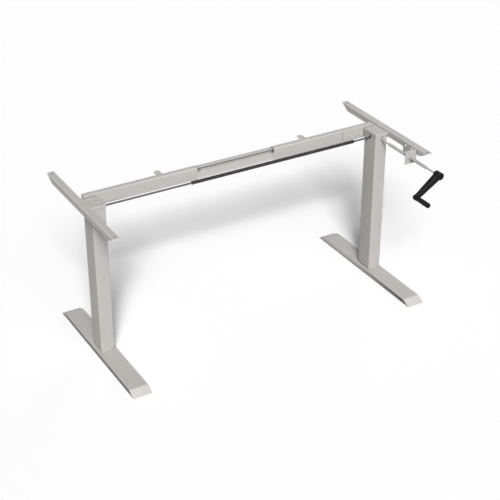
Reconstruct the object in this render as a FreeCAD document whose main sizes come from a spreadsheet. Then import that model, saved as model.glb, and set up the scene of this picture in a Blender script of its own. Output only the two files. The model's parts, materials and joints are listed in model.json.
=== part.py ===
import FreeCAD, Part
import math
import os
import re
import Sketcher

# A hand-cranked height adjustable desk frame: two telescopic legs on flat feet, a telescopic
# cross beam, two desktop arms, and a crank that turns a lead screw in each leg through bevel
# gears and a telescopic cross shaft.  Millimetres; +X is to the right, +Y to the rear, +Z up.
# The origin is on the floor, under the middle of the whole outline.

# Driving dimensions: name, value, meaning.
SIZES = (
    ("lowest_height", 700, "floor to desktop, wound right down"),
    ("lift_travel", 400, "how far the legs extend"),
    ("column_spacing", 1325, "between the leg centre lines"),
    ("leg_line", 84.5, "leg centre line behind the origin"),
    ("slide_gap", 0.3, "between pieces that slide or pass"),
    ("running_gap", 0.05, "radial, between a shaft and its bearing"),
    # foot
    ("foot_width", 82, "foot, across"),
    ("foot_length", 714, "foot, front to rear"),
    ("foot_forward", 6, "middle of the foot in front of the leg centre"),
    ("foot_height", 20, "floor to the top of the foot"),
    ("foot_slope", 38, "length of the sloping nose at each end"),
    ("foot_sheet", 3, "foot sheet metal"),
    ("foot_bend", 2.5, "outer radius of the foot's folds"),
    ("glide_height", 2, "gap between the foot's skirt and the floor"),
    ("glide_inset", 77, "end of the foot to the middle of a glide"),
    ("glide_radius", 24, "glide, sole"),
    ("glide_sole", 5, "thickness of the glide's sole"),
    ("glide_boss", 14, "radius of the glide's boss"),
    # telescopic leg
    ("inner_x", 49, "inner column, across"),
    ("inner_y", 75, "inner column, front to rear"),
    ("inner_wall", 2.5, "inner column wall"),
    ("base_plate", 6, "plate that closes the inner column's foot"),
    ("base_screw_x", 24, "foot screws, spacing across"),
    ("base_screw_y", 46, "foot screws, spacing front to rear"),
    ("column_x", 59, "outer column, across"),
    ("column_y", 85, "outer column, front to rear"),
    ("column_wall", 2.5, "outer column wall"),
    ("column_corner", 4, "outer corner radius of both columns"),
    ("column_rise", 12, "outer column above the foot, wound down"),
    ("guide_length", 60, "length of the plastic guides"),
    # lead screw and nut
    ("screw_radius", 8, "lead screw"),
    ("screw_spare", 25, "screw left below the nut, wound right up"),
    ("nut_depth", 25, "nut body inside the inner column"),
    ("nut_flange", 5, "nut flange on the inner column's end"),
    ("nut_headroom", 7, "nut to screw collar, wound down"),
    ("collar_radius", 10.5, "thrust collar of the lead screw"),
    ("collar_height", 5, "thrust collar of the lead screw"),
    ("journal_radius", 7.5, "screw journal in its bearing"),
    ("bearing_radius", 17.5, "screw bearing, outside"),
    ("bearing_width", 11, "screw bearing, height"),
    ("shield_inner", 10.5, "bearing shield, inner radius"),
    ("shield_outer", 14.5, "bearing shield, outer radius"),
    ("shield_depth", 0.8, "recess of the bearing shield"),
    # gearbox
    ("shaft_drop", 31.5, "desktop to the shaft line"),
    ("gear_module", 1.6, "tooth size at the gears' large end"),
    ("gear_teeth", 18, "teeth of the gear on the screw"),
    ("pinion_teeth", 12, "teeth of a pinion"),
    ("gear_face", 5.5, "tooth length"),
    ("tooth_share", 0.4, "tooth width as a share of the pitch"),
    ("tooth_angle", 20, "flank angle in degrees"),
    ("tooth_top", 1.2, "tooth above the pitch cone"),
    ("tooth_root", 1.75, "tooth space below the pitch cone"),
    ("gear_rim", 1.4, "gear metal behind the tooth spaces"),
    ("gear_seat", 5, "screw end that carries the gear, radius"),
    ("gear_hub", 8, "hub radius of the gear on the screw"),
    ("gear_depth", 22, "shaft line to the top of the bearing"),
    ("pinion_hub", 5.6, "hub radius of a pinion"),
    ("hub_recess", 4, "column wall to the end of a pinion's hub"),
    ("cavity_radius", 16.4, "gear space in the housing"),
    ("pocket_half", 12, "half width of a pinion pocket"),
    ("housing_roof", 10.5, "housing metal under the cap"),
    ("peep_radius", 3.2, "hole beside the crank shaft's hole"),
    ("peep_across", 7.5, "crank shaft to that hole, outwards"),
    ("peep_rise", 8, "crank shaft to that hole, upwards"),
    # cap
    ("cap_drop", 4, "desktop to the top of the cap"),
    ("cap_sheet", 2.5, "cap sheet metal"),
    ("cap_depth", 11, "height of the cap's flanges"),
    ("cap_bend", 2, "outer radius of the cap's folds"),
    ("cap_screw_x", 17, "cap screws, spacing across"),
    ("cap_screw_y", 38, "cap screws, spacing front to rear"),
    ("cap_screw_shift", 7, "cap screws' centre behind the leg line"),
    ("cap_screw_depth", 8, "cap screw thread in the housing"),
    # screws: shank radius, head radius, head height
    ("small_shank", 2, "cap screw shank"),
    ("small_head", 3.8, "cap screw head"),
    ("small_rise", 2.2, "cap screw head height"),
    ("medium_shank", 3, "frame screw shank"),
    ("medium_head", 5.2, "frame screw head"),
    ("medium_rise", 3.2, "frame screw head height"),
    ("large_shank", 4, "arm bolt shank"),
    ("large_head", 6.5, "arm bolt head"),
    ("large_rise", 5, "arm bolt head height"),
    # desktop arm
    ("arm_gap", 5.5, "outer column to the arm"),
    ("arm_width", 31, "arm, across"),
    ("arm_length", 634, "arm, front to rear"),
    ("arm_height", 27, "arm, depth of the channel"),
    ("arm_undercut", 48, "how far each end slopes back"),
    ("arm_sheet", 2.5, "arm sheet metal"),
    ("arm_bend", 3, "outer radius of the arm's folds"),
    ("arm_hole", 4, "desktop screw hole radius"),
    ("arm_hole_inset", 20, "arm end to the desktop screw hole"),
    ("packer_length", 90, "packing bar between column and arm"),
    ("packer_height", 24, "packing bar"),
    ("bolt_spacing", 52, "between the arm bolts"),
    ("bolt_drop", 13.5, "desktop to the arm bolts"),
    ("bolt_depth", 12, "arm bolt thread in the housing"),
    # cross beam
    ("beam_depth", 27, "beam tube, front to rear"),
    ("beam_height", 54, "beam tube"),
    ("beam_wall", 2, "beam tube wall"),
    ("beam_corner", 3, "beam tube corner radius"),
    ("beam_length", 500, "one outer beam"),
    ("beam_end", 19, "beam past the leg centre"),
    ("beam_gap", 7.9, "column to the beam's bracket"),
    ("rail_length", 900, "middle rail"),
    ("rail_wall", 2, "middle rail wall"),
    ("rail_recess", 4, "rail web behind the front edges of its flanges"),
    ("tab_width", 26, "desktop tab on a beam"),
    ("tab_reach", 36, "tab behind the beam"),
    ("tab_sheet", 3, "tab thickness"),
    ("tab_hole", 4.5, "screw hole in a tab"),
    ("tab_inset", 322, "leg centre to the tab"),
    ("bracket_sheet", 3, "beam bracket sheet"),
    ("bracket_reach", 138, "bracket from the leg centre inwards"),
    ("bracket_end", 30, "bracket past the leg centre"),
    ("bracket_height", 44, "beam bracket"),
    ("bracket_drop", 2, "desktop to the top of the beam bracket"),
    ("bracket_foot", 27, "height of the bracket's packing block"),
    ("bracket_screw_far", 102, "leg centre to the far bracket screw"),
    ("bracket_screw_near", 52, "leg centre to the near bracket screw"),
    ("bracket_screw_drop", 29.5, "desktop to the bracket screws"),
    ("bracket_screw_grip", 3, "bracket screw end inside the beam"),
    ("clamp_inset", 24, "inner end of the beam to the first clamp screw"),
    ("clamp_spacing", 148, "between the clamp screws"),
    ("clamp_drop", 24, "desktop to the clamp screws"),
    # cross shaft
    ("hex_flats", 7, "hexagon rods, across flats"),
    ("rod_hole", 5.5, "shaft hole in a column, radius"),
    ("slot_rise", 13, "shaft line to the top of the slot in a column's inner face"),
    ("tube_radius", 7.3, "cross shaft tube"),
    ("tube_bore", 4.6, "bore of both tubes"),
    ("tube_gap", 116, "right leg centre to the tube"),
    ("tube_length", 784, "cross shaft tube"),
    ("tube_mouth", 20, "hexagon socket at a tube's sliding end"),
    ("tube_socket", 40, "hexagon socket at the cross tube's fixed end"),
    ("rod_engagement", 350, "left rod inside the tube"),
    # crank
    ("crank_tube_radius", 6.9, "crank shaft tube"),
    ("crank_tube_start", 101, "leg line to the crank tube"),
    ("crank_tube_length", 258, "crank tube"),
    ("inner_rod_end", 180, "leg line to the end of the inner rod"),
    ("outer_rod_end", 250, "leg line to the inner end of the crank's rod"),
    ("hub_start", 427, "leg line to the crank hub"),
    ("hub_length", 33, "crank hub"),
    ("hub_radius", 16.5, "crank hub"),
    ("hub_socket", 25, "depth of the hub's hexagon socket"),
    ("crank_radius", 128, "crank axis to the grip axis"),
    ("crank_slant", 142, "turn of the crank arm in degrees"),
    ("crank_wide", 28, "arm width at the hub"),
    ("crank_narrow", 21, "arm width at the grip"),
    ("crank_thick", 28, "arm thickness at the hub"),
    ("crank_thin", 18, "arm thickness at the grip"),
    ("crank_round", 4, "corner radius of the arm"),
    ("crank_rib", 4, "width of the rib on the arm"),
    ("crank_rib_rise", 1.5, "height of the rib on the arm"),
    ("boss_radius", 11.5, "boss that holds the grip pin"),
    ("boss_rise", 1, "boss in front of the arm"),
    ("pin_radius", 4, "grip pin"),
    ("pin_depth", 12, "grip pin inside the arm"),
    ("pin_bead", 0.6, "snap bead of the grip pin"),
    ("pin_bead_place", 3, "front end of the pin to its bead"),
    ("pin_bead_width", 2, "width of the bead"),
    ("pin_end_cover", 10, "grip in front of the pin"),
    ("grip_length", 75, "grip"),
    ("grip_radius", 11.2, "grip at its fullest"),
    ("grip_waist", 9.8, "grip at its inner end"),
    ("grip_nose", 10.6, "grip at its front end"),
    ("grip_fullest", 45, "start of the grip to its fullest place"),
    # crank bracket
    ("stay_sheet", 3, "crank bracket sheet"),
    ("stay_front", 249, "leg line to the bracket's front face"),
    ("stay_depth", 93, "bracket along the arm"),
    ("stay_width", 59, "bracket's front plate"),
    ("stay_top", 1, "desktop to the front plate"),
    ("stay_drop", 60, "desktop to the bottom of the bracket"),
    ("stay_rear_drop", 48, "desktop to the bottom of its rear edge"),
    ("stay_screw_near", 173.5, "leg line to the first bracket screw"),
    ("stay_screw_far", 215, "leg line to the second bracket screw"),
    ("stay_screw_drop", 14, "desktop to the bracket screws"),
    ("stay_hole", 2, "small hole in the front plate"),
    ("stay_hole_across", 7, "shaft line to that hole, inwards"),
    ("stay_hole_rise", 19.6, "shaft line to that hole, upwards"),
    ("bush_radius", 10, "crank bush"),
    ("bush_flange", 11.5, "crank bush flange"),
    ("bush_rim", 1.5, "crank bush flange thickness"),
)

# Places and sizes that follow from the driving ones.  A leg's own frame has its origin on the
# floor under the leg centre; heights are above the floor.
WORKED_OUT = {
    "half_spacing": "column_spacing / 2",
    "glide_top": "foot_height - foot_sheet",
    "column_bottom": "foot_height + column_rise",
    "cap_top": "lowest_height - cap_drop",
    "column_top": "cap_top - cap_sheet",
    "shaft_height": "lowest_height - shaft_drop",
    "bearing_top": "shaft_height - gear_depth",
    "housing_bottom": "bearing_top - bearing_width",
    "collar_top": "housing_bottom - slide_gap",
    "collar_bottom": "collar_top - collar_height",
    "journal_top": "bearing_top + slide_gap",
    "inner_top": "collar_bottom - nut_headroom - nut_flange",
    "nut_bottom": "inner_top - nut_depth",
    "screw_bottom": "nut_bottom - lift_travel - screw_spare",
    "inner_corner": "column_corner - inner_wall",
    "bore_corner": "column_corner - column_wall",
    "cone_length": "gear_module * sqrt(gear_teeth ^ 2 + pinion_teeth ^ 2) / 2",
    "toe_scale": "1 - gear_face / cone_length",
    "pinion_sine": "gear_module * pinion_teeth / 2 / cone_length",
    "gear_sine": "gear_module * gear_teeth / 2 / cone_length",
    "pinion_back": "gear_module * gear_teeth / 2 + (tooth_root + gear_rim) * pinion_sine",
    "pinion_front": "toe_scale * (gear_module * gear_teeth / 2 + tooth_root * pinion_sine)",
    "gear_front": "toe_scale * (gear_module * pinion_teeth / 2 + tooth_root * gear_sine)",
    "pocket_end": "pinion_back + slide_gap",
    "arm_inner": "column_x / 2 + arm_gap",
    "arm_outer": "arm_inner + arm_width",
    "arm_bottom": "lowest_height - arm_height",
    "bolt_height": "lowest_height - bolt_drop",
    "packer_bottom": "arm_bottom",
    "plate_front": "column_y / 2 + beam_gap",
    "beam_front": "plate_front + bracket_sheet",
    "beam_rear": "beam_front + beam_depth",
    "beam_bottom": "lowest_height - beam_height",
    "beam_inward": "beam_length - beam_end",
    "rail_front": "beam_front + beam_wall + slide_gap",
    "rail_rear": "beam_rear - beam_wall - slide_gap",
    "rail_bottom": "beam_bottom + beam_wall + slide_gap",
    "rail_top": "lowest_height - beam_wall - slide_gap",
    "bracket_screw_height": "lowest_height - bracket_screw_drop",
    "clamp_far": "beam_inward - clamp_inset",
    "clamp_near": "clamp_far - clamp_spacing",
    "clamp_height": "lowest_height - clamp_drop",
    "clamp_end": "rail_front + rail_recess - slide_gap",
    "tube_right": "half_spacing - tube_gap",
    "tube_left": "tube_right - tube_length",
    "crank_tube_end": "crank_tube_start + crank_tube_length",
    "hub_front": "hub_start + hub_length",
    "arm_front": "hub_start + crank_thin",
    "boss_front": "arm_front + boss_rise",
    "grip_start": "boss_front + slide_gap",
    "grip_end": "grip_start + grip_length",
    "pin_end": "grip_end - pin_end_cover",
    "stay_rear": "stay_front - stay_depth",
    "stay_inner": "arm_inner - stay_sheet",
    "stay_screw_height": "lowest_height - stay_screw_drop",
}

DOC = FreeCAD.newDocument("desk_frame")
SHEET = DOC.addObject("Spreadsheet::Sheet", "sizes")
PIECES = []


def fill_sheet():
    """Write every driving dimension into the spreadsheet under its own name."""
    for row, (name, value, meaning) in enumerate(SIZES, 1):
        SHEET.set(f"A{row}", meaning)
        SHEET.set(f"B{row}", str(value))
        SHEET.setAlias(f"B{row}", name)
    DOC.recompute()


def bound(expression):
    """Spell the short names in an expression out as references to the spreadsheet."""
    driving = {name for name, _, _ in SIZES}

    def spelled(match):
        word = match.group(0)
        if word in WORKED_OUT:
            return f"({bound(WORKED_OUT[word])})"
        return f"sizes.{word}" if word in driving else word

    return re.sub(r"[a-z][a-z_]*", spelled, expression)


def number(expression):
    """The present value of an expression."""
    return float(SHEET.evalExpression(bound(expression)))


class Side:
    """The left or the right leg: turns distances outward from the leg centre into X."""

    def __init__(self, name, sign):
        self.name = name
        self.sign = sign
        self.centre = f"{sign} * half_spacing"

    def out(self, distance):
        return f"{self.sign} * ({distance})"

    def span(self, near, far):
        """Lowest and highest X of a stretch that runs outward from near to far."""
        ends = (self.out(near), self.out(far))
        return ends if self.sign > 0 else (ends[1], ends[0])


LEFT = Side("left", -1)
RIGHT = Side("right", 1)


# The points of a sketched edge, in the order in which constraints number them.
START, END, CENTRE = (("edge", "start", "end", "centre").index(point)
                      for point in ("start", "end", "centre"))


class Drawing:
    """A sketch whose every point is held by dimensions bound to the spreadsheet."""

    def __init__(self, sketch):
        self.sketch = sketch

    def hold(self, kind, edge, point, expression):
        """Keep a point of an edge this far from the sketch's origin, which is geometry -1."""
        constraint = Sketcher.Constraint(kind, -1, START, edge, point, number(expression))
        index = self.sketch.addConstraint(constraint)
        self.sketch.setExpression(f"Constraints[{index}]", bound(expression))

    def line(self, start, end):
        """A straight edge between two places, its own ends held there."""
        ends = [FreeCAD.Vector(number(x), number(y), 0) for x, y in (start, end)]
        return self.sketch.addGeometry(Part.LineSegment(*ends))

    def outline(self, points):
        """A closed polygon."""
        lines = [self.line(p, q) for p, q in zip(points, points[1:] + points[:1])]
        for edge, (x, y) in zip(lines, points):
            self.hold("DistanceX", edge, START, x)
            self.hold("DistanceY", edge, START, y)
        for edge, following in zip(lines, lines[1:] + lines[:1]):
            self.sketch.addConstraint(Sketcher.Constraint("Coincident", edge, END, following, START))

    def circle(self, x, y, radius):
        centre = FreeCAD.Vector(number(x), number(y), 0)
        upright = FreeCAD.Vector(0, 0, 1)
        edge = self.sketch.addGeometry(Part.Circle(centre, upright, number(radius)))
        self.hold("DistanceX", edge, CENTRE, x)
        self.hold("DistanceY", edge, CENTRE, y)
        index = self.sketch.addConstraint(Sketcher.Constraint("Radius", edge, number(radius)))
        self.sketch.setExpression(f"Constraints[{index}]", bound(radius))

    def rounded(self, x_low, x_high, y_low, y_high, radius):
        """A rectangle with round corners: four lines joined by four quarter arcs."""
        x_in = (f"{x_low} + {radius}", f"{x_high} - ({radius})")
        y_in = (f"{y_low} + {radius}", f"{y_high} - ({radius})")
        sides = (
            ((x_in[0], y_low), (x_in[1], y_low)),
            ((x_high, y_in[0]), (x_high, y_in[1])),
            ((x_in[1], y_high), (x_in[0], y_high)),
            ((x_low, y_in[1]), (x_low, y_in[0])),
        )
        centres = ((x_in[1], y_in[0]), (x_in[1], y_in[1]), (x_in[0], y_in[1]), (x_in[0], y_in[0]))
        lines = [self.line(start, end) for start, end in sides]
        for edge, ends in zip(lines, sides):
            for point, (x, y) in zip((START, END), ends):
                self.hold("DistanceX", edge, point, x)
                self.hold("DistanceY", edge, point, y)
        for corner, (x, y) in enumerate(centres):
            start = (corner - 1) * QUARTER
            centre = FreeCAD.Vector(number(x), number(y), 0)
            ring = Part.Circle(centre, FreeCAD.Vector(0, 0, 1), number(radius))
            arc = self.sketch.addGeometry(Part.ArcOfCircle(ring, start, start + QUARTER))
            ahead = lines[(corner + 1) % len(lines)]
            for before, after in ((lines[corner], arc), (arc, ahead)):
                joined = Sketcher.Constraint("Coincident", before, END, after, START)
                self.sketch.addConstraint(joined)
            self.hold("DistanceX", arc, CENTRE, x)


QUARTER = math.radians(90)


# Sections to draw: each returns what a Drawing has to do.
def outline(*points):
    return lambda drawing: drawing.outline(list(points))


def rectangle(x_low, x_high, y_low, y_high):
    return outline((x_low, y_low), (x_high, y_low), (x_high, y_high), (x_low, y_high))


def circle(x, y, radius):
    return lambda drawing: drawing.circle(x, y, radius)


def rounded(x_low, x_high, y_low, y_high, radius):
    return lambda drawing: drawing.rounded(x_low, x_high, y_low, y_high, radius)


def centred(width, depth, radius):
    """A round-cornered rectangle about the origin."""
    half_x, half_y = f"({width}) / 2", f"({depth}) / 2"
    return rounded(f"-{half_x}", half_x, f"-{half_y}", half_y, radius)


def hexagon(x, y, flats, upright=False):
    """A hexagon with two flats level, or two corners up and down."""
    corner = f"({flats}) / sqrt(3)"
    flat = f"({flats}) / 2"
    shape = ((1, 0), (0.5, 1), (-0.5, 1), (-1, 0), (-0.5, -1), (0.5, -1))
    if upright:
        return outline(*((f"{x} + {b} * {flat}", f"{y} + {a} * {corner}") for a, b in shape))
    return outline(*((f"{x} + {a} * {corner}", f"{y} + {b} * {flat}") for a, b in shape))


# A plane's sketch and the sign of its normal along the model axis that it faces.
PLANES = {"XY": "+", "YZ": "+", "XZ": "-"}


class Piece:
    """One sub-part: a body whose features are sketched in its own frame."""

    def __init__(self, node, x="0", z="0", turn=None):
        self.body = DOC.addObject("PartDesign::Body", node)
        self.body.Label = node
        self.body.AllowCompound = True
        if turn:
            axis, angle = turn
            self.body.Placement = FreeCAD.Placement(
                FreeCAD.Vector(), FreeCAD.Rotation(FreeCAD.Vector(*axis), number(angle))
            )
            self.body.setExpression("Placement.Rotation.Angle", bound(f"{angle} * 1deg"))
        for axis, place in (("x", x), ("y", "leg_line"), ("z", z)):
            self.body.setExpression(f"Placement.Base.{axis}", bound(place))
        PIECES.append(self.body)

    def feature(self, kind):
        return self.body.newObject(kind, f"{self.body.Name}_{kind.split('::')[1].lower()}")

    def sketch(self, plane, at, sections, turn=None):
        """A sketch parallel to one of the body's planes, this far along its axis."""
        sketch = self.feature("Sketcher::SketchObject")
        roles = {flat.Role: flat for flat in self.body.Origin.OriginFeatures}
        sketch.AttachmentSupport = (roles[f"{plane}_Plane"], [""])
        sketch.MapMode = "FlatFace"
        sketch.setExpression("AttachmentOffset.Base.z", bound(f"{PLANES[plane]}1 * ({at})"))
        if turn:
            sketch.setExpression("AttachmentOffset.Rotation.Angle", bound(turn))
        for section in sections:
            section(Drawing(sketch))
        return sketch

    def extrude(self, kind, plane, low, high, sections):
        feature_sketch = self.sketch(plane, low if PLANES[plane] == "+" else high, sections)
        feature = self.feature(kind)
        feature.Profile = feature_sketch
        feature.setExpression("Length", bound(f"({high}) - ({low})"))
        return feature

    def pad(self, plane, low, high, *sections):
        """Add the drawn section between two places along the plane's axis."""
        self.extrude("PartDesign::Pad", plane, low, high, sections)

    def cut(self, plane, low, high, *sections):
        """Take the drawn section away between two places along the plane's axis."""
        self.extrude("PartDesign::Pocket", plane, low, high, sections).Reversed = True

    def revolve(self, plane, axis, *points):
        """Turn an outline about the sketch's own horizontal or vertical axis."""
        profile = self.sketch(plane, "0", (outline(*points),))
        feature = self.feature("PartDesign::Revolution")
        feature.Profile = profile
        feature.ReferenceAxis = (profile, [axis])
        feature.Angle = 360

    def round_edges(self, radius, wanted):
        """Round the edges of the shape so far that a test picks."""
        DOC.recompute()
        base = self.body.Tip
        names = [f"Edge{n}" for n, edge in enumerate(base.Shape.Edges, 1) if wanted(edge)]
        feature = self.feature("PartDesign::Fillet")
        feature.Base = (base, names)
        feature.setExpression("Radius", bound(radius))


def along(edge, axis):
    """True for a straight edge that runs along an axis: 0 is X, 1 is Y and 2 is Z."""
    if not isinstance(edge.Curve, Part.Line):
        return False
    return abs(abs(edge.Curve.Direction[axis]) - 1) < NEAR


def at_place(edge, axis, expression):
    """True for an edge whose middle lies at a place along an axis."""
    return abs(edge.CenterOfMass[axis] - number(expression)) < NEAR


NEAR = 0.001  # two places closer than this are the same


def screws(node, x, plane, centres, head, shank):
    """A group of like screws, each one solid; head and shank are (low, high, radius)."""
    group = Piece(node, x=x)
    for low, high, radius in (head, shank):
        group.pad(plane, low, high, *(circle(a, b, radius) for a, b in centres))


def bevel_gear(node, teeth, mate, hub, hub_end, x, z, turn=None, phase=None):
    """A straight bevel gear on its own Z axis, with its pitch cone's tip at its origin.

    A turned blank has one tapered tooth space cut in it, and that space repeated round it."""
    size = f"sqrt({teeth} ^ 2 + {mate} ^ 2)"
    cosine, sine = f"({mate} / {size})", f"({teeth} / {size})"

    def heel(rise):
        """Radius and depth of a point on the back cone, this far above the pitch cone."""
        radius = f"gear_module * {teeth} / 2 + ({rise}) * {cosine}"
        depth = f"gear_module * {mate} / 2 - ({rise}) * {sine}"
        return f"({radius})", f"({depth})"

    def toe(rise):
        radius, depth = heel(rise)
        return f"toe_scale * {radius}", f"(toe_scale * {depth})"

    gear = Piece(node, x=x, z=z, turn=turn)
    profile = (heel("tooth_top"), toe("tooth_top"), toe("-tooth_root"), ("0", toe("-tooth_root")[1]),
               ("0", hub_end), (hub, hub_end), (hub, heel("-tooth_root - gear_rim")[1]),
               heel("-tooth_root - gear_rim"))
    gear.revolve("XZ", "V_Axis", *((radius, f"-{depth}") for radius, depth in profile))

    root_radius, root_depth = heel("-tooth_root")
    tip_radius, tip_depth = heel("tooth_top")
    root_slope, open_slope = f"({root_radius} / {root_depth})", f"(1.2 * {tip_radius} / {tip_depth})"
    pitch_slope = f"({teeth} / {mate})"
    half_space = f"tan((1 - tooth_share) * 180deg / {teeth})"
    flank = f"({sine} ^ 2 * {half_space} + tan(tooth_angle * 1deg) * {cosine})"

    def space(depth):
        """The tooth space where a level plane cuts it, this far below the cone's tip."""
        corners = []
        for slope in (root_slope, open_slope):
            half = f"{depth} * ({pitch_slope} * {half_space} + ({slope} - {pitch_slope}) * {flank})"
            corners.append((f"{depth} * {slope}", half))
        (near, near_half), (far, far_half) = corners
        shape = outline((near, f"-({near_half})"), (far, f"-({far_half})"), (far, far_half),
                        (near, near_half))
        return gear.sketch("XY", f"-{depth}", (shape,), turn=phase)

    cutter = gear.feature("PartDesign::SubtractiveLoft")
    cutter.Profile = space(f"(0.8 * {toe('tooth_top')[1]})")
    cutter.Sections = [space(f"(1.05 * {root_depth})")]
    cutter.Ruled = True
    DOC.recompute()
    teeth_round = gear.feature("PartDesign::PolarPattern")
    roles = {line.Role: line for line in gear.body.Origin.OriginFeatures}
    teeth_round.Originals = [cutter]
    teeth_round.Axis = (roles["Z_Axis"], [""])
    teeth_round.Angle = 360
    teeth_round.setExpression("Occurrences", bound(teeth))
    gear.body.Tip = teeth_round
    return gear


def base_screw_places():
    return [(f"{a} * base_screw_x / 2", f"{b} * base_screw_y / 2") for a in (-1, 1) for b in (-1, 1)]


FOOT_ENDS = ("(-foot_forward - foot_length / 2)", "(-foot_forward + foot_length / 2)")


def foot(side):
    """Folded sheet tray, upside down, with a sloping nose at each end."""
    piece = Piece(f"{side.name}_foot", x=side.centre)
    rise = "(foot_height - glide_height)"
    front, rear = FOOT_ENDS
    piece.pad("YZ", "-foot_width / 2", "foot_width / 2", outline(
        (front, "glide_height"), (rear, "glide_height"),
        (f"{rear} - foot_slope", "foot_height"), (f"{front} + foot_slope", "foot_height")))
    skirt = number("glide_height")
    piece.round_edges("foot_bend", lambda edge: edge.BoundBox.ZMax > skirt + NEAR)
    inset = f"foot_sheet * sqrt(foot_slope ^ 2 + {rise} ^ 2) / {rise}"
    lean = f"foot_slope * ({rise} - foot_sheet) / {rise}"
    piece.cut("YZ", "-foot_width / 2 + foot_sheet", "foot_width / 2 - foot_sheet", outline(
        (f"{front} + {inset}", "glide_height"), (f"{rear} - {inset}", "glide_height"),
        (f"{rear} - {inset} - {lean}", "glide_top"),
        (f"{front} + {inset} + {lean}", "glide_top")))
    piece.cut("XY", "glide_top", "foot_height",
              *(circle(a, b, "medium_shank + slide_gap") for a, b in base_screw_places()))


def foot_glides(side):
    """Two stepped plastic pads under the foot's sheet; they reach the floor."""
    piece = Piece(f"{side.name}_foot_glides", x=side.centre)
    front, rear = FOOT_ENDS
    places = (f"{front} + glide_inset", f"{rear} - glide_inset")
    piece.pad("XY", "0", "glide_sole", *(circle("0", y, "glide_radius") for y in places))
    piece.pad("XY", "glide_sole", "glide_top", *(circle("0", y, "glide_boss") for y in places))


def foot_screws(side):
    """Four screws that come up through the foot into the inner column's plate."""
    screws(f"{side.name}_foot_screws", side.centre, "XY", base_screw_places(),
           ("glide_top - medium_rise", "glide_top", "medium_head"),
           ("glide_top", "foot_height + base_plate", "medium_shank"))


def inner_column(side):
    """Rectangular tube with a tapped plate in its foot."""
    piece = Piece(f"{side.name}_inner_column", x=side.centre)
    bore = centred("inner_x - 2 * inner_wall", "inner_y - 2 * inner_wall", "inner_corner")
    piece.pad("XY", "foot_height", "inner_top", centred("inner_x", "inner_y", "column_corner"), bore)
    piece.pad("XY", "foot_height", "foot_height + base_plate", bore,
              *(circle(a, b, "medium_shank") for a, b in base_screw_places()))


def upper_guide(side):
    """Plastic sleeve on the inner column's top end; it runs inside the outer column."""
    piece = Piece(f"{side.name}_upper_guide", x=side.centre)
    piece.pad("XY", "inner_top - guide_length", "inner_top",
              centred("column_x - 2 * column_wall - 2 * slide_gap",
                      "column_y - 2 * column_wall - 2 * slide_gap", "bore_corner"),
              centred("inner_x", "inner_y", "column_corner"))


def lower_guide(side):
    """Plastic sleeve in the outer column's mouth; it runs on the inner column."""
    piece = Piece(f"{side.name}_lower_guide", x=side.centre)
    piece.pad("XY", "column_bottom", "column_bottom + guide_length",
              centred("column_x - 2 * column_wall", "column_y - 2 * column_wall", "bore_corner"),
              centred("inner_x + 2 * slide_gap", "inner_y + 2 * slide_gap",
                      "(column_corner + slide_gap)"))


def spindle_nut(side):
    """Nut block that closes the inner column; its flange carries the load."""
    piece = Piece(f"{side.name}_spindle_nut", x=side.centre)
    bore = circle("0", "0", "screw_radius + running_gap")
    piece.pad("XY", "nut_bottom", "inner_top",
              centred("inner_x - 2 * inner_wall", "inner_y - 2 * inner_wall", "inner_corner"), bore)
    piece.pad("XY", "inner_top", "inner_top + nut_flange",
              centred("inner_x", "inner_y", "column_corner"), bore)


def lead_screw(side):
    """Turned screw: threaded length, thrust collar, bearing journal and gear seat."""
    piece = Piece(f"{side.name}_lead_screw", x=side.centre)
    piece.revolve("XZ", "V_Axis",
                  ("0", "screw_bottom"), ("screw_radius - 1", "screw_bottom"),
                  ("screw_radius", "screw_bottom + 1"), ("screw_radius", "collar_bottom"),
                  ("collar_radius", "collar_bottom"), ("collar_radius", "collar_top"),
                  ("journal_radius", "collar_top"), ("journal_radius", "journal_top"),
                  ("gear_seat", "journal_top"), ("gear_seat", "shaft_height - gear_front"),
                  ("0", "shaft_height - gear_front"))


def screw_bearing(side):
    """Shielded ball bearing, drawn as one ring."""
    piece = Piece(f"{side.name}_screw_bearing", x=side.centre)
    bore = "journal_radius + running_gap"
    low, high = "housing_bottom", "bearing_top"
    piece.revolve("XZ", "V_Axis",
                  (bore, low), ("shield_inner", low), ("shield_inner", f"{low} + shield_depth"),
                  ("shield_outer", f"{low} + shield_depth"), ("shield_outer", low),
                  ("bearing_radius", low), ("bearing_radius", high), ("shield_outer", high),
                  ("shield_outer", f"{high} - shield_depth"),
                  ("shield_inner", f"{high} - shield_depth"), ("shield_inner", high), (bore, high))


def screw_gear(side):
    """Bevel gear on the end of the lead screw."""
    gear = bevel_gear(f"{side.name}_screw_gear", "gear_teeth", "pinion_teeth", "gear_hub",
                      "(shaft_height - journal_top)", side.centre, "shaft_height")
    gear.cut("XY", "journal_top - shaft_height", "-gear_front", circle("0", "0", "gear_seat"))


def shaft_pinion(side):
    """Bevel pinion on the cross shaft, on the inner side of the screw's gear."""
    end = "(column_x / 2 - column_wall - hub_recess)"
    gear = bevel_gear(f"{side.name}_shaft_pinion", "pinion_teeth", "gear_teeth", "pinion_hub", end,
                      side.centre, "shaft_height", turn=((0, side.sign, 0), "90"),
                      phase="180deg / pinion_teeth")
    gear.cut("XY", f"-{end}", "-pinion_front", hexagon("0", "0", "hex_flats", upright=True))


def cross_rod(node, low, high):
    """Hexagon rod of the cross shaft, inside one pinion and one end of the tube."""
    piece = Piece(node, z="shaft_height")
    piece.pad("YZ", low, high, hexagon("0", "0", "hex_flats"))


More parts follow.
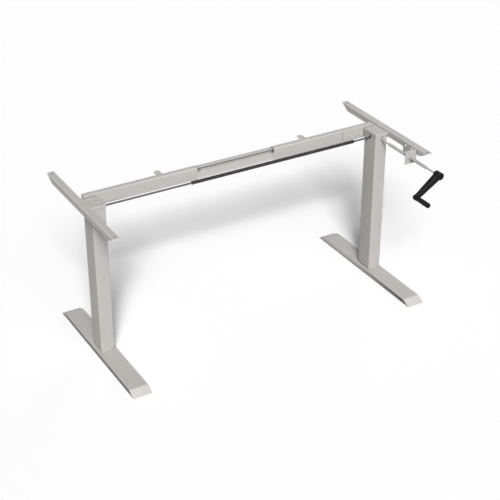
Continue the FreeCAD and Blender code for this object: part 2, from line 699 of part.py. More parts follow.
def shaft_tube():
    """Round tube with a sliding hexagon socket at its left end and a tight one at its right."""
    piece = Piece("shaft_tube", z="shaft_height")
    mouth, socket = "tube_left + tube_mouth", "tube_right - tube_socket"
    piece.pad("YZ", "tube_left", "tube_right", circle("0", "0", "tube_radius"))
    piece.cut("YZ", "tube_left", mouth, hexagon("0", "0", "hex_flats + slide_gap"))
    piece.cut("YZ", mouth, socket, circle("0", "0", "tube_bore"))
    piece.cut("YZ", socket, "tube_right", hexagon("0", "0", "hex_flats"))


def shaft_slot():
    """The upright slot in a column's inner face, with the shaft at its lower end."""
    return rounded("-rod_hole", "rod_hole", "shaft_height - rod_hole", "shaft_height + slot_rise",
                   "(rod_hole * 0.99)")


def front_hole():
    """The round hole beside the crank shaft's hole, in the right column's front face."""
    return circle("peep_across", "shaft_height + peep_rise", "peep_radius")


def bolt_places():
    return [(f"{a} * bolt_spacing / 2", "bolt_height") for a in (-1, 1)]


def outer_column(side):
    """Rectangular tube with shaft holes in its inner face and bolt holes in its outer face."""
    piece = Piece(f"{side.name}_outer_column", x=side.centre)
    piece.pad("XY", "column_bottom", "column_top",
              centred("column_x", "column_y", "column_corner"),
              centred("column_x - 2 * column_wall", "column_y - 2 * column_wall", "bore_corner"))
    inner = side.span("-column_x / 2", "-column_x / 2 + column_wall")
    piece.cut("YZ", *inner, shaft_slot())
    piece.cut("YZ", *side.span("column_x / 2 - column_wall", "column_x / 2"),
              *(circle(a, b, "large_shank + slide_gap") for a, b in bolt_places()))
    if side is RIGHT:
        piece.cut("XZ", "-column_y / 2", "-column_y / 2 + column_wall",
                  circle("0", "shaft_height", "rod_hole"), front_hole())


def gear_housing(side):
    """Cast block in the column's head: bearing seat, gear space, pinion pockets and bores."""
    piece = Piece(f"{side.name}_gear_housing", x=side.centre)
    roof = "(column_top - housing_roof)"
    half_x, half_y = "(column_x / 2 - column_wall)", "(column_y / 2 - column_wall)"
    pocket_floor = "shaft_height - pocket_half"
    piece.pad("XY", "housing_bottom", "column_top",
              centred(f"2 * {half_x}", f"2 * {half_y}", "bore_corner"))
    piece.cut("XY", "housing_bottom", "bearing_top", circle("0", "0", "bearing_radius"))
    piece.cut("XY", "bearing_top", roof, circle("0", "0", "cavity_radius"))
    piece.cut("XY", pocket_floor, roof,
              rectangle(side.out("-pocket_end"), "0", "-pocket_half", "pocket_half"))
    bore = circle("0", "shaft_height", "pinion_hub + running_gap")
    piece.cut("YZ", *side.span(f"-{half_x}", "-pocket_end"), bore)
    piece.cut("YZ", *side.span(f"-{half_x}", "-pocket_end"), shaft_slot())
    piece.cut("YZ", *side.span(f"{half_x} - bolt_depth", half_x),
              *(circle(a, b, "large_shank") for a, b in bolt_places()))
    piece.cut("XY", "column_top - cap_screw_depth", "column_top",
              *(circle(a, b, "small_shank") for a, b in cap_screw_places()))
    if side is RIGHT:
        piece.cut("XY", pocket_floor, roof, rectangle("-pocket_half", "pocket_half", "-pocket_end", "0"))
        piece.cut("XZ", f"-{half_y}", "-pocket_end", bore)
        piece.cut("XZ", f"-{half_y}", "-pocket_end", front_hole())


def cap_screw_places():
    return [(f"{a} * cap_screw_x / 2", f"cap_screw_shift + {b} * cap_screw_y / 2")
            for a in (-1, 1) for b in (-1, 1)]


def top_cap(side):
    """Folded lid over the column's head, with a flange at the front, the rear and inside."""
    piece = Piece(f"{side.name}_top_cap", x=side.centre)
    reach_x, reach_y = "(column_x / 2 + cap_sheet)", "(column_y / 2 + cap_sheet)"
    piece.pad("XY", "cap_top - cap_depth", "cap_top",
              rectangle(side.out(f"-{reach_x}"), side.out("column_x / 2"), f"-{reach_y}", reach_y))
    inner = number(side.out(f"-{reach_x}"))
    piece.round_edges("cap_bend", lambda edge: (
        at_place(edge, 2, "cap_top") and abs(edge.CenterOfMass.x + inner) > 1
        or along(edge, 2) and abs(edge.CenterOfMass.x - inner) < NEAR))
    piece.cut("XY", "cap_top - cap_depth", "column_top",
              rectangle(side.out("-column_x / 2"), side.out("column_x / 2 + 1"),
                        "-column_y / 2", "column_y / 2"))
    piece.cut("XY", "column_top", "cap_top",
              *(circle(a, b, "small_shank + slide_gap") for a, b in cap_screw_places()))


def cap_screws(side):
    screws(f"{side.name}_cap_screws", side.centre, "XY", cap_screw_places(),
           ("cap_top", "cap_top + small_rise", "small_head"),
           ("column_top - cap_screw_depth", "cap_top", "small_shank"))


def stay_screw_places():
    return [(f"-{place}", "stay_screw_height") for place in ("stay_screw_near", "stay_screw_far")]


def arm(side):
    """Channel, open below, that carries the desktop; its ends are cut back underneath."""
    piece = Piece(f"{side.name}_arm", x=side.centre)
    half = "arm_length / 2"
    piece.pad("YZ", *side.span("arm_inner", "arm_outer"), outline(
        (f"-{half}", "lowest_height"), (half, "lowest_height"),
        (f"{half} - arm_undercut", "arm_bottom"), (f"-{half} + arm_undercut", "arm_bottom")))
    piece.round_edges("arm_bend", lambda edge: along(edge, 1) and at_place(edge, 2, "lowest_height"))
    piece.cut("YZ", *side.span("arm_inner + arm_sheet", "arm_outer - arm_sheet"),
              rectangle(f"-{half}", half, "arm_bottom", "lowest_height - arm_sheet"))
    middle = side.out("(arm_inner + arm_outer) / 2")
    piece.cut("XY", "lowest_height - arm_sheet", "lowest_height",
              *(circle(middle, f"{a} * (arm_length / 2 - arm_hole_inset)", "arm_hole")
                for a in (-1, 1)))
    wall = side.span("arm_inner", "arm_inner + arm_sheet")
    piece.cut("YZ", *wall, *(circle(a, b, "large_shank + slide_gap") for a, b in bolt_places()))
    if side is RIGHT:
        piece.cut("YZ", *wall, *(circle(a, b, "medium_shank") for a, b in stay_screw_places()))


def arm_packer(side):
    """Bar that packs the arm out from the column; the arm bolts go through it."""
    piece = Piece(f"{side.name}_arm_packer", x=side.centre)
    piece.pad("YZ", *side.span("column_x / 2", "arm_inner"),
              rectangle("-packer_length / 2", "packer_length / 2", "packer_bottom",
                        "packer_bottom + packer_height"),
              *(circle(a, b, "large_shank + slide_gap") for a, b in bolt_places()))
    piece.round_edges("packer_height / 6", lambda edge: (
        along(edge, 0) and at_place(edge, 2, "packer_bottom + packer_height")))


def arm_bolts(side):
    """Two bolts from inside the arm, through packer and column, into the housing."""
    wall = "arm_inner + arm_sheet"
    head = side.span(wall, f"{wall} + large_rise")
    shank = side.span("column_x / 2 - column_wall - bolt_depth", wall)
    screws(f"{side.name}_arm_bolts", side.centre, "YZ", bolt_places(),
           (*head, "large_head"), (*shank, "large_shank"))


def bracket_screw_places(side):
    return [(side.out(f"-{place}"), "bracket_screw_height")
            for place in ("bracket_screw_far", "bracket_screw_near")]


def clamp_screw_places(side):
    return [(side.out(f"-{place}"), "clamp_height") for place in ("clamp_far", "clamp_near")]


def beam(side):
    """Outer beam: tube closed at its outer end, with a round-ended tab welded to its rear."""
    piece = Piece(f"{side.name}_beam", x=side.centre)
    wall = "beam_wall"
    piece.pad("YZ", *side.span("-beam_inward", "beam_end"),
              rounded("beam_front", "beam_rear", "beam_bottom", "lowest_height", "beam_corner"))
    piece.cut("YZ", *side.span("-beam_inward", f"beam_end - {wall}"),
              rounded(f"beam_front + {wall}", f"beam_rear - {wall}", f"beam_bottom + {wall}",
                      f"lowest_height - {wall}", f"(beam_corner - {wall})"))
    tab_x = side.out("-tab_inset")
    tab_end = "beam_rear + tab_reach - tab_width / 2"
    tab_low, tab_high = "lowest_height - tab_sheet", "lowest_height"
    piece.pad("XY", tab_low, tab_high, rectangle(
        f"{tab_x} - tab_width / 2", f"{tab_x} + tab_width / 2", "beam_rear - beam_wall / 2", tab_end))
    piece.pad("XY", tab_low, tab_high, circle(tab_x, tab_end, "tab_width / 2"))
    piece.cut("XY", tab_low, tab_high, circle(tab_x, tab_end, "tab_hole"))
    piece.cut("XZ", "beam_front", f"beam_front + {wall}",
              *(circle(a, b, "medium_shank") for a, b in bracket_screw_places(side)),
              *(circle(a, b, "small_shank") for a, b in clamp_screw_places(side)))


def beam_bracket(side):
    """Plate screwed to the beam's front, on a block welded to the column's rear face."""
    piece = Piece(f"{side.name}_beam_bracket", x=side.centre)
    high = "lowest_height - bracket_drop"
    low = f"{high} - bracket_height"
    ends = side.span("-bracket_reach", "bracket_end")
    piece.pad("XZ", "plate_front", "beam_front", rectangle(*ends, low, high),
              *(circle(a, b, "medium_shank + slide_gap") for a, b in bracket_screw_places(side)))
    piece.pad("XZ", "column_y / 2", "plate_front",
              rectangle("-column_x / 2", "column_x / 2", low, f"{low} + bracket_foot"))


def bracket_screws(side):
    screws(f"{side.name}_bracket_screws", side.centre, "XZ", bracket_screw_places(side),
           ("plate_front - medium_rise", "plate_front", "medium_head"),
           ("plate_front", "beam_front + beam_wall + bracket_screw_grip", "medium_shank"))


def clamp_screws(side):
    """Screws that clamp the middle rail once the width is set."""
    screws(f"{side.name}_clamp_screws", side.centre, "XZ", clamp_screw_places(side),
           ("beam_front - small_rise", "beam_front", "small_head"),
           ("beam_front", "clamp_end", "small_shank"))


def middle_rail():
    """Rolled section that slides inside both outer beams: two flanges and a set-back web."""
    piece = Piece("middle_rail")
    low, high = "rail_bottom + rail_wall", "rail_top - rail_wall"
    web_front = "rail_front + rail_recess"
    web_rear = f"{web_front} + rail_wall"
    piece.pad("YZ", "-rail_length / 2", "rail_length / 2", outline(
        ("rail_front", "rail_bottom"), ("rail_rear", "rail_bottom"), ("rail_rear", low),
        (web_rear, low), (web_rear, high), ("rail_rear", high), ("rail_rear", "rail_top"),
        ("rail_front", "rail_top"), ("rail_front", high), (web_front, high), (web_front, low),
        ("rail_front", low)))


def crank_pinion():
    """Bevel pinion on the crank shaft, in front of the right screw's gear."""
    end = "(column_y / 2 - column_wall - hub_recess)"
    gear = bevel_gear("crank_pinion", "pinion_teeth", "gear_teeth", "pinion_hub", end,
                      RIGHT.centre, "shaft_height", turn=((-1, 0, 0), "90"))
    gear.cut("XY", f"-{end}", "-pinion_front", hexagon("0", "0", "hex_flats"))


def crank_line(node):
    """A piece in the frame of the crank shaft, which runs along Y."""
    return Piece(node, x=RIGHT.centre, z="shaft_height")


def crank_shaft():
    """Inner rod, tube and outer rod; the outer rod slides in the tube."""
    crank_line("crank_inner_rod").pad("XZ", "-inner_rod_end", "-pinion_front",
                                      hexagon("0", "0", "hex_flats"))
    tube = crank_line("crank_tube")
    inner, outer = "-crank_tube_start - tube_mouth", "-crank_tube_end + tube_mouth"
    tube.pad("XZ", "-crank_tube_end", "-crank_tube_start", circle("0", "0", "crank_tube_radius"))
    tube.cut("XZ", inner, "-crank_tube_start", hexagon("0", "0", "hex_flats"))
    tube.cut("XZ", outer, inner, circle("0", "0", "tube_bore"))
    tube.cut("XZ", "-crank_tube_end", outer, hexagon("0", "0", "hex_flats + slide_gap"))
    crank_line("crank_outer_rod").pad("XZ", "-hub_start - hub_socket", "-outer_rod_end",
                                      hexagon("0", "0", "hex_flats"))


def slanted(node):
    """A piece in the frame of the crank arm: X runs from the hub to the grip."""
    return Piece(node, x=RIGHT.centre, z="shaft_height", turn=((0, 1, 0), "crank_slant"))


def crank_arm():
    """Moulded arm: round hub, tapering arm with a rib, and a boss for the grip pin."""
    piece = slanted("crank_arm")
    back = "-hub_start"
    piece.pad("XZ", "-hub_front", back, circle("0", "0", "hub_radius"))
    piece.round_edges("crank_round", lambda edge: at_place(edge, 1, "-hub_front"))
    piece.pad("XZ", "-boss_front", back, circle("crank_radius", "0", "boss_radius"))
    arm_loft = piece.feature("PartDesign::AdditiveLoft")
    arm_loft.Profile = piece.sketch("YZ", "0", (rounded(
        f"{back} - crank_thick", back, "-crank_wide / 2", "crank_wide / 2", "crank_round"),))
    arm_loft.Sections = [piece.sketch("YZ", "crank_radius", (rounded(
        "-arm_front", back, "-crank_narrow / 2", "crank_narrow / 2", "crank_round"),))]
    arm_loft.Ruled = True
    taper = "(crank_thick - crank_thin) / crank_radius"
    piece.pad("XY", "-crank_rib / 2", "crank_rib / 2", outline(
        ("0", back), ("0", f"{back} - crank_thick - crank_rib_rise"),
        ("crank_radius - boss_radius", f"-arm_front - {taper} * boss_radius - crank_rib_rise"),
        ("crank_radius - boss_radius", back)))
    piece.cut("XZ", f"{back} - hub_socket", back, hexagon_on_slant())
    piece.cut("XZ", "-boss_front", f"-boss_front + pin_depth",
              circle("crank_radius", "0", "pin_radius"))


def hexagon_on_slant():
    """The rod's hexagon as the slanted arm sees it."""
    corner = "hex_flats / sqrt(3)"
    angles = [f"({60 * step} + crank_slant) * 1deg" for step in range(6)]
    return outline(*((f"{corner} * cos({angle})", f"{corner} * sin({angle})") for angle in angles))


# The bead of the grip pin, from the pin's front end.
BEAD_STARTS, BEAD_ENDS = "pin_bead_place", "(pin_bead_place + pin_bead_width)"


def grip_pin():
    """Steel pin with a snap bead near its end, pressed into the arm."""
    piece = slanted("grip_pin")
    rear, end = "-boss_front + pin_depth", "-pin_end"
    piece.pad("XZ", end, rear, circle("crank_radius", "0", "pin_radius"))
    piece.pad("XZ", f"{end} + {BEAD_STARTS}", f"{end} + {BEAD_ENDS}",
              circle("crank_radius", "0", "pin_radius + pin_bead"))


def crank_grip():
    """Turned plastic grip, full in the middle and closed in front, that spins on the pin."""
    piece = Piece("crank_grip", x=f"{RIGHT.centre} + crank_radius * cos(crank_slant * 1deg)",
                  z="shaft_height - crank_radius * sin(crank_slant * 1deg)")
    bore, bead = "pin_radius + running_gap", "pin_radius + pin_bead + running_gap"
    bead_front = f"-pin_end + {BEAD_STARTS} - slide_gap"
    bead_rear = f"-pin_end + {BEAD_ENDS} + slide_gap"
    piece.revolve("YZ", "H_Axis",
                  ("-grip_end", "0"), ("-grip_end", "grip_nose"),
                  ("-grip_start - grip_fullest", "grip_radius"), ("-grip_start", "grip_waist"),
                  ("-grip_start", bore), (bead_rear, bore), (bead_rear, bead),
                  (bead_front, bead), (bead_front, bore), ("-pin_end - slide_gap", bore),
                  ("-pin_end - slide_gap", "0"))
    piece.round_edges("grip_nose * 0.45", lambda edge: at_place(edge, 1, "-grip_end"))


def crank_bracket():
    """Folded angle on the right arm that steadies the crank shaft."""
    piece = Piece("crank_bracket", x=RIGHT.centre)
    top, bottom, rear_bottom = ("lowest_height - stay_top", "lowest_height - stay_drop",
                                "lowest_height - stay_rear_drop")
    piece.pad("YZ", "stay_inner", "arm_inner", outline(
        ("-stay_rear", top), ("-stay_rear", rear_bottom), ("-stay_front", bottom),
        ("-stay_front", top)))
    piece.pad("XZ", "-stay_front", "-stay_front + stay_sheet",
              rectangle("arm_inner - stay_width", "arm_inner", bottom, top))
    piece.round_edges("stay_sheet * 0.8", lambda edge: (
        along(edge, 2) and at_place(edge, 0, "arm_inner") and at_place(edge, 1, "-stay_front")))
    piece.cut("XZ", "-stay_front", "-stay_front + stay_sheet",
              circle("0", "shaft_height", "bush_radius"),
              circle("-stay_hole_across", "shaft_height + stay_hole_rise", "stay_hole"))
    piece.cut("YZ", "stay_inner", "arm_inner",
              *(circle(a, b, "medium_shank") for a, b in stay_screw_places()))


def crank_bush():
    """Plastic bush, flanged in front, in which the crank tube turns."""
    piece = crank_line("crank_bush")
    bore = "crank_tube_radius + running_gap"
    front, face, rear = "-stay_front - bush_rim", "-stay_front", "-stay_front + stay_sheet + bush_rim"
    piece.revolve("YZ", "H_Axis", (front, bore), (rear, bore), (rear, "bush_radius"),
                  (face, "bush_radius"), (face, "bush_flange"), (front, "bush_flange"))


def crank_bracket_screws():
    screws("crank_bracket_screws", RIGHT.centre, "YZ", stay_screw_places(),
           ("stay_inner - medium_rise", "stay_inner", "medium_head"),
           ("stay_inner", "arm_inner + arm_sheet + stay_sheet", "medium_shank"))


def build():
    """Make every piece of the frame."""
    fill_sheet()
    for side in (LEFT, RIGHT):
        for make in (foot, foot_glides, foot_screws, inner_column, upper_guide, spindle_nut,
                     outer_column, lower_guide, gear_housing, screw_bearing, top_cap, cap_screws,
                     arm, arm_packer, arm_bolts, beam, beam_bracket, bracket_screws,
                     clamp_screws, lead_screw, screw_gear, shaft_pinion):
            make(side)
    cross_rod("left_hex_rod", "-half_spacing + pinion_front", "tube_left + rod_engagement")
    cross_rod("right_hex_rod", "tube_right - tube_socket", "half_spacing - pinion_front")
    for make in (middle_rail, shaft_tube, crank_pinion, crank_shaft, crank_arm, grip_pin,
                 crank_grip, crank_bracket, crank_bush, crank_bracket_screws):
        make()
    DOC.recompute()


def check():
    """Stop if any object failed, or any piece isn't a sound solid."""
    for item in DOC.Objects:
        failed = {"Invalid", "Error"} & set(item.State)
        if failed:
            raise RuntimeError(f"{item.Label} did not build: {failed}")
    for piece in PIECES:
        if piece.Shape.isNull() or not piece.Shape.isValid() or not piece.Shape.Solids:
            raise RuntimeError(f"{piece.Label} is not a sound solid")


def export():
    """Write each piece to its own file."""
    os.makedirs("parts", exist_ok=True)
    for piece in PIECES:
        piece.Shape.exportStep(os.path.join("parts", f"{piece.Label}.step"))
        box = piece.Shape.BoundBox
        print(f"{piece.Label:24s} {len(piece.Shape.Solids)} solids, "
              f"{box.XLength:7.1f} x {box.YLength:6.1f} x {box.ZLength:6.1f}")


build()
check()
export()
print(len(PIECES), "pieces")
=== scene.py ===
# %% [markdown]
# # A hand-cranked desk frame, dressed
#
# The frame stands on two flat feet. Each leg is a pair of steel tubes, one inside the other, and
# a crank at the right drives a screw in each leg through bevel gears and one long cross shaft.
# A telescopic beam ties the legs together, and two arms on top carry the desktop.
#
# The metal parts come in finished from the construction model. This lesson gives each of them
# the surface that it has in a workshop, remakes the small things that a construction model keeps
# plain (screws, glides, the rubber in the arms' holes), and sets up a studio round them.

# %% Tools and the fixed frame
import json
import math

import bmesh
import bpy
from mathutils import Matrix, Vector


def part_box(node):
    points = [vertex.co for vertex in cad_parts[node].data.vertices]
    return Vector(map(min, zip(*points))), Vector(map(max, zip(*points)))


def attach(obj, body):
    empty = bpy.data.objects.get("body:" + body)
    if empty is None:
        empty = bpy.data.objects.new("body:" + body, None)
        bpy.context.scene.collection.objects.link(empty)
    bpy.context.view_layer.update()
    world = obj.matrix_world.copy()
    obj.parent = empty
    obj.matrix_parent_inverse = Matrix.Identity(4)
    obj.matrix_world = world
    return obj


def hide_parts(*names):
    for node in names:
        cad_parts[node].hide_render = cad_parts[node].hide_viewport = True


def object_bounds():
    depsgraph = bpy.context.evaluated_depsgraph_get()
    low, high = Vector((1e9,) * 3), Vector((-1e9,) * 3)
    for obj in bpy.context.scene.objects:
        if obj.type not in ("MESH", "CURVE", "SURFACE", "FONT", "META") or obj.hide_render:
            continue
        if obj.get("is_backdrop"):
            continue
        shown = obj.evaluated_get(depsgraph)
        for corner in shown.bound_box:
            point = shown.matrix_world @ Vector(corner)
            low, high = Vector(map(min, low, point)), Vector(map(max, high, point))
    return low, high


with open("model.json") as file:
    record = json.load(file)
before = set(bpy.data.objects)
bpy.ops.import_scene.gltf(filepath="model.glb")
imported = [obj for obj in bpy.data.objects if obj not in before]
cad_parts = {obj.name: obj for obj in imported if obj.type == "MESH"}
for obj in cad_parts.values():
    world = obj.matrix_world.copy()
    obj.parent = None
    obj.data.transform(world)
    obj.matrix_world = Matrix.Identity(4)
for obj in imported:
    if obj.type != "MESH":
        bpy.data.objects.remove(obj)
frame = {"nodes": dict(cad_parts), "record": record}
record = frame["record"]
cad_low, cad_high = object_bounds()
print("construction model:", [round(value, 3) for value in (*cad_low, *cad_high)])

# %% [markdown]
# ## Writing a material as a formula
#
# A material is a little network: noise goes into a range, and the range into a colour. Built by
# hand, ten nodes take thirty lines. Three small helpers keep it readable. A `Wire` is what comes
# out of a node, and adding or multiplying wires places the Math nodes. A `Network` puts in any
# other node, from its type, its settings and its inputs. A `Finish` is a material's network, with
# one shader at its end.

# %% Wires that do arithmetic
class Wire:
    """What comes out of a node. Sums and products of wires add Math nodes."""

    def __init__(self, network, socket):
        self.network = network
        self.socket = socket

    def maths(self, operation, first, second):
        return self.network.node("ShaderNodeMath", {"operation": operation},
                                 {0: first, 1: second})

    def __add__(self, other):
        return self.maths("ADD", self, other)

    def __radd__(self, other):
        return self.maths("ADD", other, self)

    def __sub__(self, other):
        return self.maths("SUBTRACT", self, other)

    def __rsub__(self, other):
        return self.maths("SUBTRACT", other, self)

    def __mul__(self, other):
        return self.maths("MULTIPLY", self, other)

    def __rmul__(self, other):
        return self.maths("MULTIPLY", other, self)


print("wires add, subtract and multiply")

# %% Networks, and one finish
class Network:
    """A tree of nodes, and the one method that puts a node into it."""

    def __init__(self, tree):
        self.tree = tree

    def node(self, kind, settings=None, inputs=None, output=0):
        """Any node: its settings come first, because some of them change its sockets."""
        made = self.tree.nodes.new(kind)
        for name, value in (settings or {}).items():
            setattr(made, name, value)
        for name, value in (inputs or {}).items():
            self.join(made.inputs[name], value)
        return Wire(self, made.outputs[output])

    def join(self, socket, value):
        """Link a wire to a socket, or set a plain value on it."""
        if isinstance(value, Wire):
            self.tree.links.new(value.socket, socket)
        else:
            socket.default_value = value


class Finish(Network):
    """A material with one Principled shader, whose fixed values are set straight on it."""

    def __init__(self, name, **fixed):
        self.material = bpy.data.materials.new(name)
        self.material.use_nodes = True
        super().__init__(self.material.node_tree)
        self.shader = self.tree.nodes["Principled BSDF"]
        self.feed(**fixed)

    def feed(self, **values):
        """Set or join the shader's sockets; an underscore stands for a space in their names."""
        for socket, value in values.items():
            self.join(self.shader.inputs[socket.replace("_", " ")], value)


FINISHES = {}
print("networks and finishes ready")

# %% [markdown]
# ## Patterns that every finish shares
#
# All patterns are read from Object coordinates, which here are metres in the room, so a speck is
# as large on a screw as on a foot. `grain` is plain noise, and `drawn` is the same noise stretched
# along one axis, like the lines that a die leaves on bar. `between` and `ramped` spread a pattern
# over the range that a socket needs, and `blended` mixes two colours by it.

# %% Noise and drawn lines
def grain(finish, per_metre, detail=3.0):
    place = finish.node("ShaderNodeTexCoord", output="Object")
    return finish.node("ShaderNodeTexNoise", {"noise_dimensions": "3D"},
                       {"Vector": place, "Scale": per_metre, "Detail": detail,
                        "Roughness": 0.55}, output="Fac")


def drawn(finish, stretch, per_metre, detail=2.0):
    """Noise that is stretched: `stretch` is how tight the pattern is along X, Y and Z."""
    place = finish.node("ShaderNodeTexCoord", output="Object")
    pulled = finish.node("ShaderNodeMapping", {"vector_type": "POINT"},
                         {"Vector": place, "Scale": stretch})
    return finish.node("ShaderNodeTexNoise", {"noise_dimensions": "3D"},
                       {"Vector": pulled, "Scale": per_metre, "Detail": detail}, output="Fac")


def place_on(finish, axis):
    """Where a point lies along X, Y or Z, in metres."""
    return finish.node("ShaderNodeSeparateXYZ", None,
                       {"Vector": finish.node("ShaderNodeTexCoord", output="Object")},
                       output=axis)


print("patterns ready: grain, drawn, place_on")

# %% Ranges and colours
def ramped(finish, wire, start, end, first=0.0, last=1.0):
    """`first` before `start`, `last` after `end`, and straight between them."""
    return finish.node("ShaderNodeMapRange", {"clamp": True},
                       {"Value": wire, "From Min": start, "From Max": end,
                        "To Min": first, "To Max": last})


def between(finish, noise, low=0.0, high=1.0):
    """Spread noise, which swings about one half, over the range from low to high."""
    return ramped(finish, noise, 0.3, 0.7, low, high)


def blended(finish, share, first, second):
    """A colour between two colours."""
    return finish.node("ShaderNodeMix", {"data_type": "RGBA"},
                       {"Factor": share, 6: first, 7: second}, output=2)


def grey(value, warmth=0.0):
    """A linear colour near grey; warmth lifts the red and lowers the blue."""
    return (value * (1 + warmth), value, value * (1 - warmth), 1.0)


print("a warm grey:", grey(0.4, 0.05))

# %% [markdown]
# ## Relief, edges and corners
#
# `relief` turns a height into bump. Given an `edge`, it also rounds every edge by that much, so
# that edges catch the light as folded and moulded ones do. Two more patterns come from the shape
# itself, and both are masks for painted light. One asks how open the space round a point is, and
# so finds the seams and holes where shade is painted in. The other compares the rounded direction
# of the surface with the face's own, and so finds the edges where a highlight is painted on.

# %% Patterns that come from the shape
EDGE_SAMPLES = 6
CORNER_SAMPLES = 8
AT_AN_EDGE = 0.95
AWAY_FROM_EDGES = 0.998


def rounded(finish, radius):
    """The direction of the surface as it would be if its edges were round."""
    return finish.node("ShaderNodeBevel", {"samples": EDGE_SAMPLES}, {"Radius": radius})


def facing(finish):
    """The direction of the face itself."""
    return finish.node("ShaderNodeNewGeometry", output="True Normal")


def relief(finish, height, depth, strength=1.0, edge=None):
    """Bump from a height between 0 and 1; `depth` is how deep it is, in metres."""
    inputs = {"Height": height, "Distance": depth, "Strength": strength}
    if edge:
        inputs["Normal"] = rounded(finish, edge)
    return finish.node("ShaderNodeBump", None, inputs, output="Normal")


# A mask for a painted highlight: edges are painted lighter by it.
def edge_highlight(finish, radius):
    """1 at an edge and 0 on a flat face."""
    likeness = finish.node("ShaderNodeVectorMath", {"operation": "DOT_PRODUCT"},
                           {0: rounded(finish, radius), 1: facing(finish)}, output="Value")
    return 1 - ramped(finish, likeness, AT_AN_EDGE, AWAY_FROM_EDGES)


# A mask for painted shade: seams, corners and holes are painted darker by it.
def corner_shade(finish, depth, most, closed=0.45, opened=0.86):
    """How deep in a corner, seam or hole a point lies, from 0 in the open to `most`."""
    openness = finish.node("ShaderNodeAmbientOcclusion",
                           {"samples": CORNER_SAMPLES, "only_local": False},
                           {"Distance": depth}, output="AO")
    return ramped(finish, openness, closed, opened, most, 0.0)


print("patterns ready: relief, edge_highlight, crevice")

# %% [markdown]
# ## Powder coat
#
# The legs, feet, beams and arms are steel that is sprayed with dry powder and baked. Up close
# the baked skin isn't flat: it has a fine, soft orange-peel, with a few tiny nibs. It is satin,
# so the peel shows mostly in the highlights. Here two scales of noise make the peel, and a wide,
# faint one shifts the colour, as handling and the oven do.

# %% The paint's colour and skin
PAINT = 0.425
PAINT_WARMTH = 0.042
NIBS_PER_METRE = 2600.0


def paint(lift):
    """The paint's plain colour; `lift` makes it lighter."""
    return grey(PAINT * lift, PAINT_WARMTH)


def coat_colour(finish, lift=1.0):
    """The same colour, clouded and specked."""
    cloud = grain(finish, 9.0, detail=2.0)
    nibs = grain(finish, NIBS_PER_METRE, detail=1.0)
    clouded = blended(finish, between(finish, cloud), paint(0.97 * lift), paint(1.03 * lift))
    return blended(finish, between(finish, nibs, 0.0, 0.10), clouded, paint(0.9 * lift))


def baked_skin(finish, colour, fold):
    """Give a finish the powder's satin orange-peel; `fold` is how round the edges are."""
    peel = grain(finish, 900.0, detail=2.0)
    nibs = grain(finish, NIBS_PER_METRE, detail=1.0)
    finish.feed(
        Base_Color=colour,
        Roughness=between(finish, peel, 0.42, 0.52),
        Normal=relief(finish, peel * 0.8 + nibs * 0.2, 0.00012, 0.35, edge=fold))
    return finish


def coat(name):
    return Finish(name, Metallic=0.0, IOR=1.48, Specular_IOR_Level=0.28)


print("paint:", [round(part, 3) for part in paint(1.0)])

# %% [markdown]
# ## Where light and shade are painted on
#
# Edges are painted a little lighter, as a painted highlight, and the last few millimetres before a
# joint or inside a hole are painted darker, as painted shade. The arms and beams have wide, soft
# edges. The outer tubes and the small sheet parts are cut and drilled, and a wide edge would spread
# over their holes, so they get the same paint with a sharper edge. The inner tubes get neither the
# painted highlight nor the painted shade.

# %% Paint for soft edges, for cut edges and for the sliding tubes
# the colour of the painted shade in seams, corners and holes
SEAM_SHADE = grey(0.07, 0.05)
SEAM_DEPTH = 0.007
SOFT_EDGE = 0.003
CUT_EDGE = 0.001
# how wide and how much lighter the painted highlight on edges is
EDGE_HIGHLIGHT_REACH = 1.6
EDGE_HIGHLIGHT_LIFT = 1.4


def powder_coat(name, fold):
    """Paint with a painted highlight on its edges and painted shade in its seams."""
    finish = coat(name)
    # painted highlight: edges are painted lighter
    painted_light = blended(finish, edge_highlight(finish, EDGE_HIGHLIGHT_REACH * fold), coat_colour(finish),
                     coat_colour(finish, EDGE_HIGHLIGHT_LIFT))
    # painted shade: seams, corners and holes are painted darker
    return baked_skin(finish, blended(finish, corner_shade(finish, SEAM_DEPTH, 0.9), painted_light,
                                      SEAM_SHADE), fold)


def sliding_coat(name):
    finish = coat(name)
    return baked_skin(finish, coat_colour(finish), SOFT_EDGE)


FINISHES["frame_paint"] = powder_coat("frame_paint", SOFT_EDGE)
FINISHES["sheet_coat"] = powder_coat("sheet_coat", CUT_EDGE)
FINISHES["sliding_coat"] = sliding_coat("sliding_coat")
print("finishes so far:", ", ".join(FINISHES))

# %% [markdown]
# ## The rail and the feet
#
# The middle rail is a channel that lies open to the front. A line of painted shadow lies under its
# top flange, and the whole rail is painted a little lighter, as painted light for the light that
# bounces in its hollow. The sloping noses of the feet are painted lighter, as a painted highlight
# where they face the lamps, and their low sides are painted darker, as painted shade.

# %% Paint for the rail
# the reach of the painted shadow under the top flange, its lower border, and how much lighter the
# rail is painted for the light in its hollow
UNDER_FLANGE = 0.026
UPPER_BORDER = 0.01
HOLLOW_LIGHT = 1.08


def rail_coat(name, middle):
    """Paint with painted shadow in the corners above the height `middle` only, painted lighter all
    over.
    """
    finish = coat(name)
    # painted shadow: a dark line under the top flange, above the height `middle`
    under = corner_shade(finish, UNDER_FLANGE, 1.0, closed=0.88, opened=0.985)
    upper = ramped(finish, place_on(finish, "Z"), middle, middle + UPPER_BORDER)
    # painted light: the rail's colour is lifted for the light that bounces in its hollow
    return baked_skin(finish, blended(finish, under * upper, coat_colour(finish, HOLLOW_LIGHT),
                                      SEAM_SHADE), SOFT_EDGE)


low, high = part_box("middle_rail")
FINISHES["rail_coat"] = rail_coat("rail_coat", (low.z + high.z) / 2)
# the painted shadow under the rail's top flange lies above this height
print("the rail's painted_shadow lies above", round((low.z + high.z) / 2, 3), "m")

# %% Paint for the feet
# the slope at each end of a foot is as long as this in the construction model
FOOT_NOSE = 0.038
NOSE_BORDER = 0.001
# how much lighter the noses are painted, as a painted highlight where they face the lamps
NOSE_HIGHLIGHT = 1.2
FOOT_EDGE = 0.0012
# how dark the low sides are painted, as painted shade
SIDE_SHADE = 0.46


